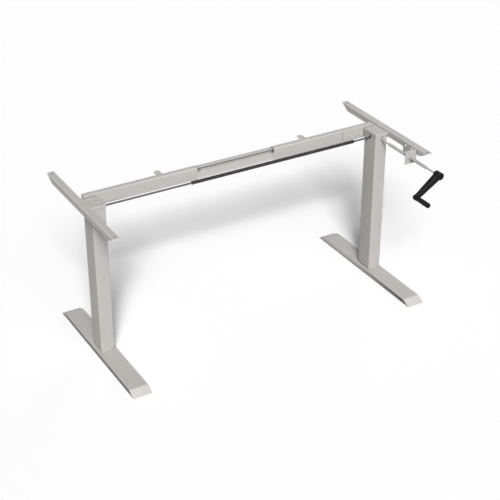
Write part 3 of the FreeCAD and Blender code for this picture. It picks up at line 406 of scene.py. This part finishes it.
def foot_coat(name, low, high):
    """Paint for a foot that runs along Y between two corners of its box."""
    finish = coat(name)
    from_middle = finish.node("ShaderNodeMath", {"operation": "ABSOLUTE"},
                              {0: place_on(finish, "Y") - (low.y + high.y) / 2})
    nose_starts = (high.y - low.y) / 2 - FOOT_NOSE
    # the noses, where a highlight is painted
    painted_light = ramped(finish, from_middle, nose_starts - NOSE_BORDER, nose_starts + NOSE_BORDER)
    upward = finish.node("ShaderNodeSeparateXYZ", None, {"Vector": facing(finish)}, output="Z")
    # painted shade on the low sides, deepest near corners
    shaded_side = (SIDE_SHADE + corner_shade(finish, 0.03, 0.3)) * ramped(finish, upward, 0.9, 0.5)
    lit_noses = blended(finish, painted_light, coat_colour(finish), coat_colour(finish, NOSE_HIGHLIGHT))
    return baked_skin(finish, blended(finish, shaded_side, lit_noses, SEAM_SHADE), FOOT_EDGE)


FINISHES["foot_coat"] = foot_coat("foot_coat", *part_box("left_foot"))
print("each nose is", FOOT_NOSE, "m long")

# %% [markdown]
# ## Zinc, and the crank's tubes
#
# Zinc plate on screws goes dull: grey, with a frosty bloom and a skin of oxide, so it is only
# partly a mirror. The two screws of the crank's bracket are newer and brighter. The crank's tubes
# are plated too, but hands and grease have dulled them almost to paint, with smears along Y.

# %% Zinc plate and plated tube
SCRATCH = 0.00002


def zinc_plate(name, dark, light, smoothest):
    """Zinc between two greys; its roughness starts at `smoothest`."""
    finish = Finish(name, Metallic=0.7, Specular_IOR_Level=0.4)
    bloom = grain(finish, 160.0, detail=4.0)
    scratch = drawn(finish, (1.0, 14.0, 14.0), 220.0)
    finish.feed(
        Base_Color=blended(finish, between(finish, bloom), dark, light),
        Roughness=between(finish, bloom * 0.6 + scratch * 0.4, smoothest, smoothest + 0.16),
        Normal=relief(finish, scratch, SCRATCH, 0.4))
    return finish


def dull_tube(name):
    finish = Finish(name, Metallic=0.15, Specular_IOR_Level=0.3)
    smear = drawn(finish, (26.0, 0.8, 26.0), 70.0)
    film = grain(finish, 50.0)
    finish.feed(
        Base_Color=blended(finish, between(finish, film), (0.40, 0.40, 0.395, 1.0),
                           (0.48, 0.48, 0.47, 1.0)),
        Roughness=between(finish, smear, 0.24, 0.38),
        Normal=relief(finish, smear, SCRATCH, 0.4))
    return finish


FINISHES["zinc_steel"] = zinc_plate("zinc_steel", grey(0.465), grey(0.55), 0.46)
FINISHES["new_zinc"] = zinc_plate("new_zinc", grey(0.72), grey(0.82), 0.30)
FINISHES["dull_tube"] = dull_tube("dull_tube")
print("finishes so far:", ", ".join(FINISHES))

# %% [markdown]
# ## The cross shaft
#
# The cross shaft is a tube between two hexagon rods. The rods are used as they leave the die, grey
# with oil. The tube is blackened. Both are drawn through a die along X, so their lines run along X.

# %% Drawn hexagon bar and blackened tube
def drawn_hexagon(name):
    finish = Finish(name, Metallic=0.8)
    line = drawn(finish, (0.5, 34.0, 34.0), 110.0)
    oil = grain(finish, 30.0)
    finish.feed(
        Base_Color=blended(finish, between(finish, oil), grey(0.085, 0.02), grey(0.125, 0.02)),
        Roughness=between(finish, line, 0.30, 0.44),
        Normal=relief(finish, line, SCRATCH, 0.5))
    return finish


def blackened_steel(name):
    finish = Finish(name, Metallic=0.85)
    line = drawn(finish, (0.6, 30.0, 30.0), 90.0)
    patch = grain(finish, 40.0)
    finish.feed(
        Base_Color=blended(finish, between(finish, patch), grey(0.030, 0.02), grey(0.050, 0.03)),
        Roughness=between(finish, line, 0.34, 0.52),
        Normal=relief(finish, line, 0.00003, 0.5))
    return finish


FINISHES["drawn_hexagon"] = drawn_hexagon("drawn_hexagon")
FINISHES["dark_steel"] = blackened_steel("dark_steel")
print("finishes so far:", ", ".join(FINISHES))

# %% [markdown]
# ## Inside the legs
#
# Turned and milled steel keeps the tool's lines, in rings round Z. A ground bearing is almost a
# mirror, and brass is smooth. The gearbox's cast block has a sandy, blackened skin, so that the
# shaft's holes look dark from outside.

# %% Turned, ground and cast metal, and brass
def turned_steel(name):
    finish = Finish(name, Metallic=1.0)
    ring = drawn(finish, (1.0, 1.0, 40.0), 60.0)
    film = grain(finish, 60.0)
    finish.feed(
        Base_Color=blended(finish, between(finish, film), (0.50, 0.49, 0.47, 1.0),
                           (0.60, 0.60, 0.59, 1.0)),
        Roughness=between(finish, ring, 0.26, 0.40),
        Normal=relief(finish, ring, 0.00003, 0.5))
    return finish


def cast_skin(name):
    finish = Finish(name, Metallic=0.0, Specular_IOR_Level=0.04)
    sand = grain(finish, 700.0)
    flow = grain(finish, 35.0, detail=2.0)
    finish.feed(
        Base_Color=blended(finish, between(finish, flow), grey(0.008), grey(0.020)),
        Roughness=between(finish, sand, 0.48, 0.62),
        Normal=relief(finish, sand, 0.0002, 0.5))
    return finish


def ground_steel(name):
    finish = Finish(name, Metallic=1.0)
    haze = grain(finish, 400.0, detail=2.0)
    finish.feed(
        Base_Color=blended(finish, between(finish, haze), grey(0.62), grey(0.68)),
        Roughness=between(finish, haze, 0.16, 0.24),
        Normal=relief(finish, haze, 0.00001, 0.3))
    return finish


def plain_brass(name):
    finish = Finish(name, Metallic=1.0)
    tarnish = grain(finish, 55.0, detail=4.0)
    finish.feed(
        Base_Color=blended(finish, between(finish, tarnish), (0.60, 0.42, 0.17, 1.0),
                           (0.74, 0.55, 0.26, 1.0)),
        Roughness=between(finish, tarnish, 0.24, 0.38),
        Normal=relief(finish, tarnish, 0.00004, 0.3))
    return finish


FINISHES["machined_steel"] = turned_steel("machined_steel")
FINISHES["cast_alloy"] = cast_skin("cast_alloy")
FINISHES["bearing_steel"] = ground_steel("bearing_steel")
FINISHES["nut_brass"] = plain_brass("nut_brass")
print("finishes so far:", ", ".join(FINISHES))

# %% [markdown]
# ## The thread of a lead screw
#
# The construction model's lead screws are plain rods, and the thread is a bump on them. The height
# along the screw, counted in turns, less the share of a turn that a point lies at, is the same all
# along a helix. A triangle wave over that number gives the two flanks of the thread.

# %% Threaded steel
THREAD_PITCH = 0.006
THREAD_DEPTH = 0.0012


def threaded_steel(name, axis):
    """Turned steel with a thread round the upright line through the point `axis`."""
    finish = Finish(name, Metallic=1.0)
    centred = finish.node("ShaderNodeMapping", {"vector_type": "POINT"},
                          {"Vector": finish.node("ShaderNodeTexCoord", output="Object"),
                           "Location": (-axis.x, -axis.y, 0)})
    turn = finish.node("ShaderNodeTexGradient", {"gradient_type": "RADIAL"},
                       {"Vector": centred}, output="Fac")
    height = finish.node("ShaderNodeSeparateXYZ", None, {"Vector": centred}, output="Z")
    along = height * (1 / THREAD_PITCH) - turn
    flank = finish.node("ShaderNodeMath", {"operation": "PINGPONG"}, {0: along, 1: 0.5})
    film = grain(finish, 60.0)
    finish.feed(
        Base_Color=blended(finish, between(finish, film), (0.42, 0.41, 0.39, 1.0),
                           (0.52, 0.52, 0.51, 1.0)),
        Roughness=between(finish, film, 0.24, 0.36),
        Normal=relief(finish, between(finish, flank * 2.0), THREAD_DEPTH))
    return finish


SIDES = ("left", "right")
for side in SIDES:
    low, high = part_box(f"{side}_lead_screw")
    FINISHES[f"{side}_thread"] = threaded_steel(f"{side}_thread", (low + high) / 2)
    print(f"the {side} screw has", round((high.z - low.z) / THREAD_PITCH), "turns of thread")

# %% [markdown]
# ## Moulded plastics
#
# The crank is black nylon with a fine spark-eroded texture, which breaks up its shine. The
# guides inside the legs are off-white acetal, smooth and waxy, and the glides under the feet are
# dark and slightly scuffed.

# %% Crank, guides and glides
MOULDED_GLOSS = 0.12
MOULDED_EDGE = 0.0012


def moulded(name, dark, light, gloss, dull, texture, depth):
    """A moulding: two close colours, a range of roughness, and a texture's scale and depth."""
    finish = Finish(name, Metallic=0.0, IOR=1.5, Specular_IOR_Level=MOULDED_GLOSS)
    spark = grain(finish, texture, detail=2.0)
    wear = grain(finish, 45.0, detail=4.0)
    finish.feed(
        Base_Color=blended(finish, between(finish, wear), dark, light),
        Roughness=between(finish, spark * 0.5 + wear * 0.5, gloss, dull),
        Normal=relief(finish, spark, depth, 0.5, edge=MOULDED_EDGE))
    return finish


FINISHES["crank_plastic"] = moulded("crank_plastic", grey(0.002), grey(0.005), 0.26, 0.40,
                                    1500.0, 4e-5)
FINISHES["guide_plastic"] = moulded("guide_plastic", grey(0.40, 0.02), grey(0.46, 0.02), 0.36,
                                    0.46, 500.0, 2e-5)
FINISHES["glide_plastic"] = moulded("glide_plastic", grey(0.02), grey(0.035), 0.45, 0.62,
                                    800.0, 6e-5)
print("all finishes:", ", ".join(FINISHES))

# %% [markdown]
# ## Dressing the construction model
#
# Each construction node already knows which finish it takes, because the part's record lists a
# material slot for it. A few differ from the rest of their slot, and are listed here. A node's
# mesh is loose triangles, so light would break at every one. Two modifiers mend the shading and
# leave the shape alone: Weld joins the triangles at their corners, and Edge Split parts them
# again only where two faces meet at a real edge.

# %% Pieces that differ from the rest of their slot
OWN_FINISH = {"middle_rail": "rail_coat", "crank_bracket": "sheet_coat",
              "crank_bracket_screws_turned": "new_zinc"}
for piece in ("crank_tube", "crank_inner_rod", "crank_outer_rod"):
    OWN_FINISH[piece] = "dull_tube"
for side in SIDES:
    for piece in ("outer_column", "top_cap", "beam_bracket", "arm_packer"):
        OWN_FINISH[f"{side}_{piece}"] = "sheet_coat"
    OWN_FINISH[f"{side}_foot"] = "foot_coat"
    OWN_FINISH[f"{side}_inner_column"] = "sliding_coat"
    OWN_FINISH[f"{side}_hex_rod"] = "drawn_hexagon"
    OWN_FINISH[f"{side}_lead_screw"] = f"{side}_thread"
print(len(OWN_FINISH), "pieces have a finish of their own")

# %% A finish and smooth shading for every node
REAL_EDGE = math.radians(32)
COINCIDENT = 1e-6


def shade(thing):
    """Smooth over curved faces, crisp at real edges."""
    for face in thing.data.polygons:
        face.use_smooth = True
    weld = thing.modifiers.new("weld", "WELD")
    weld.merge_threshold = COINCIDENT
    split = thing.modifiers.new("edges", "EDGE_SPLIT")
    split.split_angle = REAL_EDGE
    split.use_edge_sharp = False


def dress(thing, name, slot):
    """Give a thing its own finish, or its slot's."""
    thing.data.materials.clear()
    thing.data.materials.append(FINISHES[OWN_FINISH.get(name, slot)].material)


for part in record["subparts"]:
    node = frame["nodes"][part["node"]]
    dress(node, part["node"], part["material_slot"])
    shade(node)
print("dressed", len(record["subparts"]), "nodes")

# %% [markdown]
# ## Making a new piece
#
# New pieces are small meshes made with bmesh operators. They are turned: a half outline is spun
# once round an axis. `finished` gives the mesh its finish and its body, and hides the construction
# node that it stands for, if any.

# %% Turning an outline
AXES = {"x": Vector((1, 0, 0)), "y": Vector((0, 1, 0)), "z": Vector((0, 0, 1))}
UP = AXES["z"]


def turned(outline, steps):
    """Spin an outline of (radius, height) round the Z axis into a skin."""
    skin = bmesh.new()
    points = [skin.verts.new((radius, 0, height)) for radius, height in outline]
    edges = [skin.edges.new(pair) for pair in zip(points, points[1:])]
    bmesh.ops.spin(skin, geom=points + edges, cent=(0, 0, 0), axis=UP, angle=math.tau,
                   steps=steps, use_merge=True, use_duplicate=False)
    bmesh.ops.remove_doubles(skin, verts=skin.verts, dist=COINCIDENT)
    bmesh.ops.recalc_face_normals(skin, faces=skin.faces)
    return skin


def aimed(skin, place, direction):
    """Turn a skin from Z to a direction and carry it to its place."""
    turn = UP.rotation_difference(direction).to_matrix().to_4x4()
    bmesh.ops.transform(skin, matrix=Matrix.Translation(place) @ turn, verts=skin.verts)
    return skin


print("turned pieces stand on", tuple(UP))

# %% Finishing a piece
def gathered(skins):
    """Several skins as one."""
    whole = bmesh.new()
    for skin in skins:
        loose = bpy.data.meshes.new("loose")
        skin.to_mesh(loose)
        skin.free()
        whole.from_mesh(loose)
        bpy.data.meshes.remove(loose)
    return whole


def finished(name, skins, slot, body, stands_for=None):
    """One object from several skins, dressed and riding on its body."""
    mesh = bpy.data.meshes.new(name)
    skin = gathered(skins)
    skin.to_mesh(mesh)
    skin.free()
    piece = bpy.data.objects.new(name, mesh)
    bpy.context.scene.collection.objects.link(piece)
    dress(piece, name, slot)
    shade(piece)
    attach(piece, body)
    if stands_for:
        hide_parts(stands_for)
    print(f"{name}: {len(mesh.polygons)} faces")


print("new pieces are gathered, then finished")

# %% [markdown]
# ## Screws
#
# The construction model's screws are right in size and place. Seen close, a real one has a head
# with a rolled edge, a hexagon socket with a chamfered mouth, and a shank. The head is turned,
# and then the ring of points at the socket's mouth is drawn in to a hexagon: with a multiple of
# six points round, six of them fall on the corners. Each group of screws takes its places from
# its node's box, so the screws move with the construction model.

# %% One screw
ROUND = 24
ROLL_STEPS = 3
SOCKET_SHARE = 0.42
SOCKET_MOUTH = 1.12
ROLL_OF_RISE = 0.45
ROLL_OF_HEAD = 0.3
TIP_CHAMFER = 0.6e-3


def hexagon_reach(angle, corner):
    """How far a hexagon reaches from its middle at an angle, if its corners reach `corner`."""
    sector = math.pi / 3
    from_flat = (angle % sector) - sector / 2
    return corner * math.cos(sector / 2) / math.cos(from_flat)


def screw_skin(head, rise, shank, length, mouth):
    """A screw's outside, open at the socket's mouth; its seat is at height 0."""
    roll = min(rise * ROLL_OF_RISE, head * ROLL_OF_HEAD)
    outline = [(mouth, rise), (head - roll, rise)]
    for step in range(1, ROLL_STEPS + 1):
        slope = math.pi / 2 * step / ROLL_STEPS
        outline.append((head - roll + roll * math.sin(slope), rise - roll + roll * math.cos(slope)))
    outline += [(head, 0), (shank, 0), (shank, TIP_CHAMFER - length),
                (shank - TIP_CHAMFER, -length), (0, -length)]
    return turned(outline, ROUND)


def socket_screw(head, rise, shank, length):
    """A screw that points down from its seat at height 0; its head stands up by `rise`."""
    corner = head * SOCKET_SHARE
    mouth = corner * SOCKET_MOUTH
    skin = screw_skin(head, rise, shank, length, mouth)
    rim = [edge for edge in skin.edges if edge.is_boundary]
    for height in (rise - (mouth - corner), rise * SOCKET_SHARE):
        grown = bmesh.ops.extrude_edge_only(skin, edges=rim)["geom"]
        for vertex in (item for item in grown if isinstance(item, bmesh.types.BMVert)):
            angle = math.atan2(vertex.co.y, vertex.co.x)
            reach = hexagon_reach(angle % math.tau, corner)
            vertex.co = (reach * math.cos(angle), reach * math.sin(angle), height)
        rim = [item for item in grown if isinstance(item, bmesh.types.BMEdge) and item.is_boundary]
    bmesh.ops.edgeloop_fill(skin, edges=rim)
    bmesh.ops.recalc_face_normals(skin, faces=skin.faces)
    return skin


sample = socket_screw(5e-3, 3e-3, 3e-3, 12e-3)
print("a screw has", len(sample.faces), "faces")
sample.free()

# %% Screws in their groups
# name: axis, +1 or -1 for the end of the axis at which the heads are, head radius, head height,
# shank radius
LEG_SCREWS = {
    "foot_screws": ("z", -1, 5.2e-3, 3.2e-3, 3e-3),
    "cap_screws": ("z", 1, 3.8e-3, 2.2e-3, 2e-3),
    "bracket_screws": ("y", -1, 5.2e-3, 3.2e-3, 3e-3),
    "clamp_screws": ("y", -1, 3.8e-3, 2.2e-3, 2e-3),
}
ROOM_FOR_TWO = 2.5


def across(low, high, radius):
    """Where heads of this radius are between two ends: at both, or in the middle."""
    if high - low < ROOM_FOR_TWO * radius:
        return [(low + high) / 2]
    return [low + radius, high - radius]


def screw_group(node, body, axis, side, head, rise, shank):
    """All the screws of a node, with their heads at one end of an axis."""
    low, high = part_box(node)
    way = "xyz".index(axis)
    first_way, second_way = (index for index in range(3) if index != way)
    seat = high[way] - rise if side > 0 else low[way] + rise
    length = high[way] - low[way] - rise
    skins = []
    for first in across(low[first_way], high[first_way], head):
        for second in across(low[second_way], high[second_way], head):
            place = Vector()
            place[way], place[first_way], place[second_way] = seat, first, second
            skins.append(aimed(socket_screw(head, rise, shank, length), place,
                               AXES[axis] * side))
    finished(f"{node}_turned", skins, "zinc_steel", body, node)


for side in SIDES:
    for group, details in LEG_SCREWS.items():
        body = f"{side}_base" if group == "foot_screws" else f"{side}_top"
        screw_group(f"{side}_{group}", body, *details)
screw_group("left_arm_bolts", "left_top", "x", -1, 6.5e-3, 5e-3, 4e-3)
screw_group("right_arm_bolts", "right_top", "x", 1, 6.5e-3, 5e-3, 4e-3)
screw_group("crank_bracket_screws", "right_top", "x", -1, 5.2e-3, 3.2e-3, 3e-3)

# %% [markdown]
# ## Glides
#
# The feet stand on round moulded glides. A real one has a rounded sole, so that it slides over a
# carpet, and a shallow groove in it. Each pair is turned like the screws, in the place and size
# that its construction node's box gives.

# %% Glides under the feet
SOLE_RADIUS = 24e-3
SOLE_HEIGHT = 5e-3
BOSS_RADIUS = 14e-3
BOSS_FILLET = 1e-3
GROOVE_START = 14e-3
GROOVE_WIDTH = 2.5e-3
GROOVE_SLOPE = 0.5e-3
GROOVE_DEPTH = 0.9e-3
TOP_CHAMFER = 0.8e-3


def glide(height):
    """A glide that stands on its sole at height 0."""
    groove_end = GROOVE_START + GROOVE_WIDTH
    sole = [(0, 0), (GROOVE_START, 0), (GROOVE_START + GROOVE_SLOPE, GROOVE_DEPTH),
            (groove_end - GROOVE_SLOPE, GROOVE_DEPTH), (groove_end, 0)]
    rounding = [(SOLE_RADIUS - 2.4e-3, 0), (SOLE_RADIUS - 1.1e-3, 0.4e-3),
                (SOLE_RADIUS - 0.3e-3, 1.2e-3), (SOLE_RADIUS, 2.2e-3)]
    top = [(SOLE_RADIUS, SOLE_HEIGHT - TOP_CHAMFER), (SOLE_RADIUS - TOP_CHAMFER, SOLE_HEIGHT)]
    boss = [(BOSS_RADIUS + BOSS_FILLET, SOLE_HEIGHT), (BOSS_RADIUS, SOLE_HEIGHT + BOSS_FILLET),
            (BOSS_RADIUS, height - TOP_CHAMFER), (BOSS_RADIUS - TOP_CHAMFER, height), (0, height)]
    return turned(sole + rounding + top + boss, 2 * ROUND)


for side in SIDES:
    node = f"{side}_foot_glides"
    low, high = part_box(node)
    pair = [aimed(glide(high.z - low.z), Vector(((low.x + high.x) / 2, along, low.z)), UP)
            for along in (low.y + SOLE_RADIUS, high.y - SOLE_RADIUS)]
    finished(f"{node}_turned", pair, "glide_plastic", f"{side}_base", node)

# %% [markdown]
# ## Grommets in the arms
#
# Each arm has a hole near both ends for a screw up into the desktop. A rubber grommet lines it,
# so that the screw doesn't rattle and the cut edge is covered; its dark rubber also stands in for
# the shade inside the hole. It is a dark ring with a bevelled lip, turned like the screws, and it
# lies just below the arm's top so that a desktop lies flat.

# %% Four grommets
GROMMET_RADIUS = 3.9e-3
GROMMET_BORE = 1.9e-3
GROMMET_DEPTH = 3.4e-3
GROMMET_LIP = 0.5e-3
BELOW_THE_TOP = 0.2e-3
HOLE_INSET = 20e-3


def grommet():
    """A ring round the Z axis, with its top at height 0."""
    outline = [(GROMMET_BORE, -GROMMET_DEPTH), (GROMMET_BORE, -GROMMET_LIP),
               (GROMMET_BORE + GROMMET_LIP, 0), (GROMMET_RADIUS - GROMMET_LIP, 0),
               (GROMMET_RADIUS, -GROMMET_LIP), (GROMMET_RADIUS, -GROMMET_DEPTH),
               (GROMMET_BORE, -GROMMET_DEPTH)]
    return turned(outline, ROUND)


for side in SIDES:
    low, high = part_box(f"{side}_arm")
    rings = [aimed(grommet(), Vector(((low.x + high.x) / 2, along, high.z - BELOW_THE_TOP)), UP)
             for along in (low.y + HOLE_INSET, high.y - HOLE_INSET)]
    finished(f"{side}_arm_grommets", rings, "glide_plastic", f"{side}_top")

# %% [markdown]
# ## The studio
#
# A plain pale floor keeps the frame's soft shadow. To the camera, to gloss and to glass, floor
# and background are white by their own colour, with Light Path as the switch, so the object
# itself gets no extra light.

# %% Floor
FLOOR_SEEN = 1.0
FLOOR_BOUNCE = 0.28
FLOOR_REACH = 8
FLOOR_SIDES = 96
FLOOR_DROP = 0.0005
centre = (cad_low + cad_high) / 2
reach = (cad_high - cad_low).length


def seen_directly(network):
    """1 for rays from the camera, or through gloss or glass; 0 for the light on the object."""
    seen = network.node("ShaderNodeLightPath", output="Is Camera Ray")
    for kind in ("Is Glossy Ray", "Is Transmission Ray"):
        seen = network.node("ShaderNodeMath", {"operation": "MAXIMUM"},
                            {0: seen, 1: network.node("ShaderNodeLightPath", output=kind)})
    return seen


floor_skin = bmesh.new()
bmesh.ops.create_circle(floor_skin, cap_ends=True, radius=reach * FLOOR_REACH,
                        segments=FLOOR_SIDES)
floor_mesh = bpy.data.meshes.new("studio_floor")
floor_skin.to_mesh(floor_mesh)
floor_skin.free()
studio_floor = bpy.data.objects.new("studio_floor", floor_mesh)
bpy.context.scene.collection.objects.link(studio_floor)
studio_floor.location = (0, 0, cad_low.z - FLOOR_DROP)
studio_floor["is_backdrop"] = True

paper = Finish("studio_paper", Roughness=0.9, Specular_IOR_Level=0.0)
paper.feed(Base_Color=blended(paper, seen_directly(paper), grey(FLOOR_BOUNCE), grey(FLOOR_SEEN)))
floor_mesh.materials.append(paper.material)
print("the floor is", round(2 * reach * FLOOR_REACH), "m wide")

# %% World
AMBIENT = 0.025
world = bpy.data.worlds.new("studio")
bpy.context.scene.world = world
world.use_nodes = True
sky = Network(world.node_tree)
backdrop = sky.node("ShaderNodeBackground", None, {"Color": grey(1.0), "Strength": 1.0})
ambient = sky.node("ShaderNodeBackground", None,
                   {"Color": (0.98, 0.99, 1, 1), "Strength": AMBIENT})
shown = sky.node("ShaderNodeMixShader", None, {0: seen_directly(sky), 1: ambient, 2: backdrop})
sky.join(sky.tree.nodes["World Output"].inputs["Surface"], shown)
print("the world gives the object", AMBIENT, "of the light that the camera sees")

# %% [markdown]
# ## The lamps
#
# Two far, soft lamps and a wider, weaker one stand together in front, on the left, and throw the
# shadow back to the right. A wide one near the floor reaches the front faces more than the tops,
# and one behind, at the right, keeps the back readable.

# %% Lamps
# name: degrees to the right of the front, above the floor and wide, and strength
LAMPS = {
    "left_lamp": (-31.5, 37, 11.5, 1.95),
    "front_lamp": (-23, 40, 13, 2.1),
    "fill_lamp": (-12, 41.3, 34, 0.4),
    "low_fill": (8, 5, 60, 0.45),
    "back_lamp": (120, 10, 50, 0.8),
}


def toward(azimuth, elevation):
    """The direction of a place this far to the right of the front and above the floor."""
    flat = math.cos(elevation)
    return Vector((math.sin(azimuth) * flat, -math.cos(azimuth) * flat, math.sin(elevation)))


for name, (azimuth, elevation, width, strength) in LAMPS.items():
    light = bpy.data.lights.new(name, "SUN")
    light.angle = math.radians(width)
    light.energy = strength
    lamp = bpy.data.objects.new(name, light)
    bpy.context.scene.collection.objects.link(lamp)
    way = toward(math.radians(azimuth), math.radians(elevation))
    lamp.location = centre + way * reach * 2
    lamp.rotation_euler = (-way).to_track_quat("-Z", "Y").to_euler()
    print(f"{name}: strength {strength}")

# %% [markdown]
# ## The camera
#
# A long lens stands well back, in front and to the left, looking down by thirty degrees, so the
# lines of the frame stay nearly parallel.

# %% Camera
LENS = 90.1
SENSOR = 36.0
DISTANCE = 5.340
AZIMUTH = math.radians(-30.08)
ELEVATION = math.radians(30.06)
LOOK_BESIDE = Vector((0.0328, 0.0838, -0.0702))

lens = bpy.data.cameras.new("camera")
lens.lens = LENS
lens.sensor_width = SENSOR
camera = bpy.data.objects.new("camera", lens)
bpy.context.scene.collection.objects.link(camera)
back = toward(AZIMUTH, ELEVATION)
camera.location = centre + LOOK_BESIDE + back * DISTANCE
camera.rotation_mode = "QUATERNION"
camera.rotation_quaternion = (-back).to_track_quat("-Z", "Y")
bpy.context.scene.camera = camera
bpy.context.scene.view_settings.view_transform = "Standard"
print("camera at", [round(value, 3) for value in camera.location])

# %% [markdown]
# ## Finishing
#
# The last cell prints the dressed model's box, beside the construction model's printed at the
# start.

# %% Sizes and the last line
low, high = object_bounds()
print("dressed model:", [round(value, 4) for value in (*low, *high)])
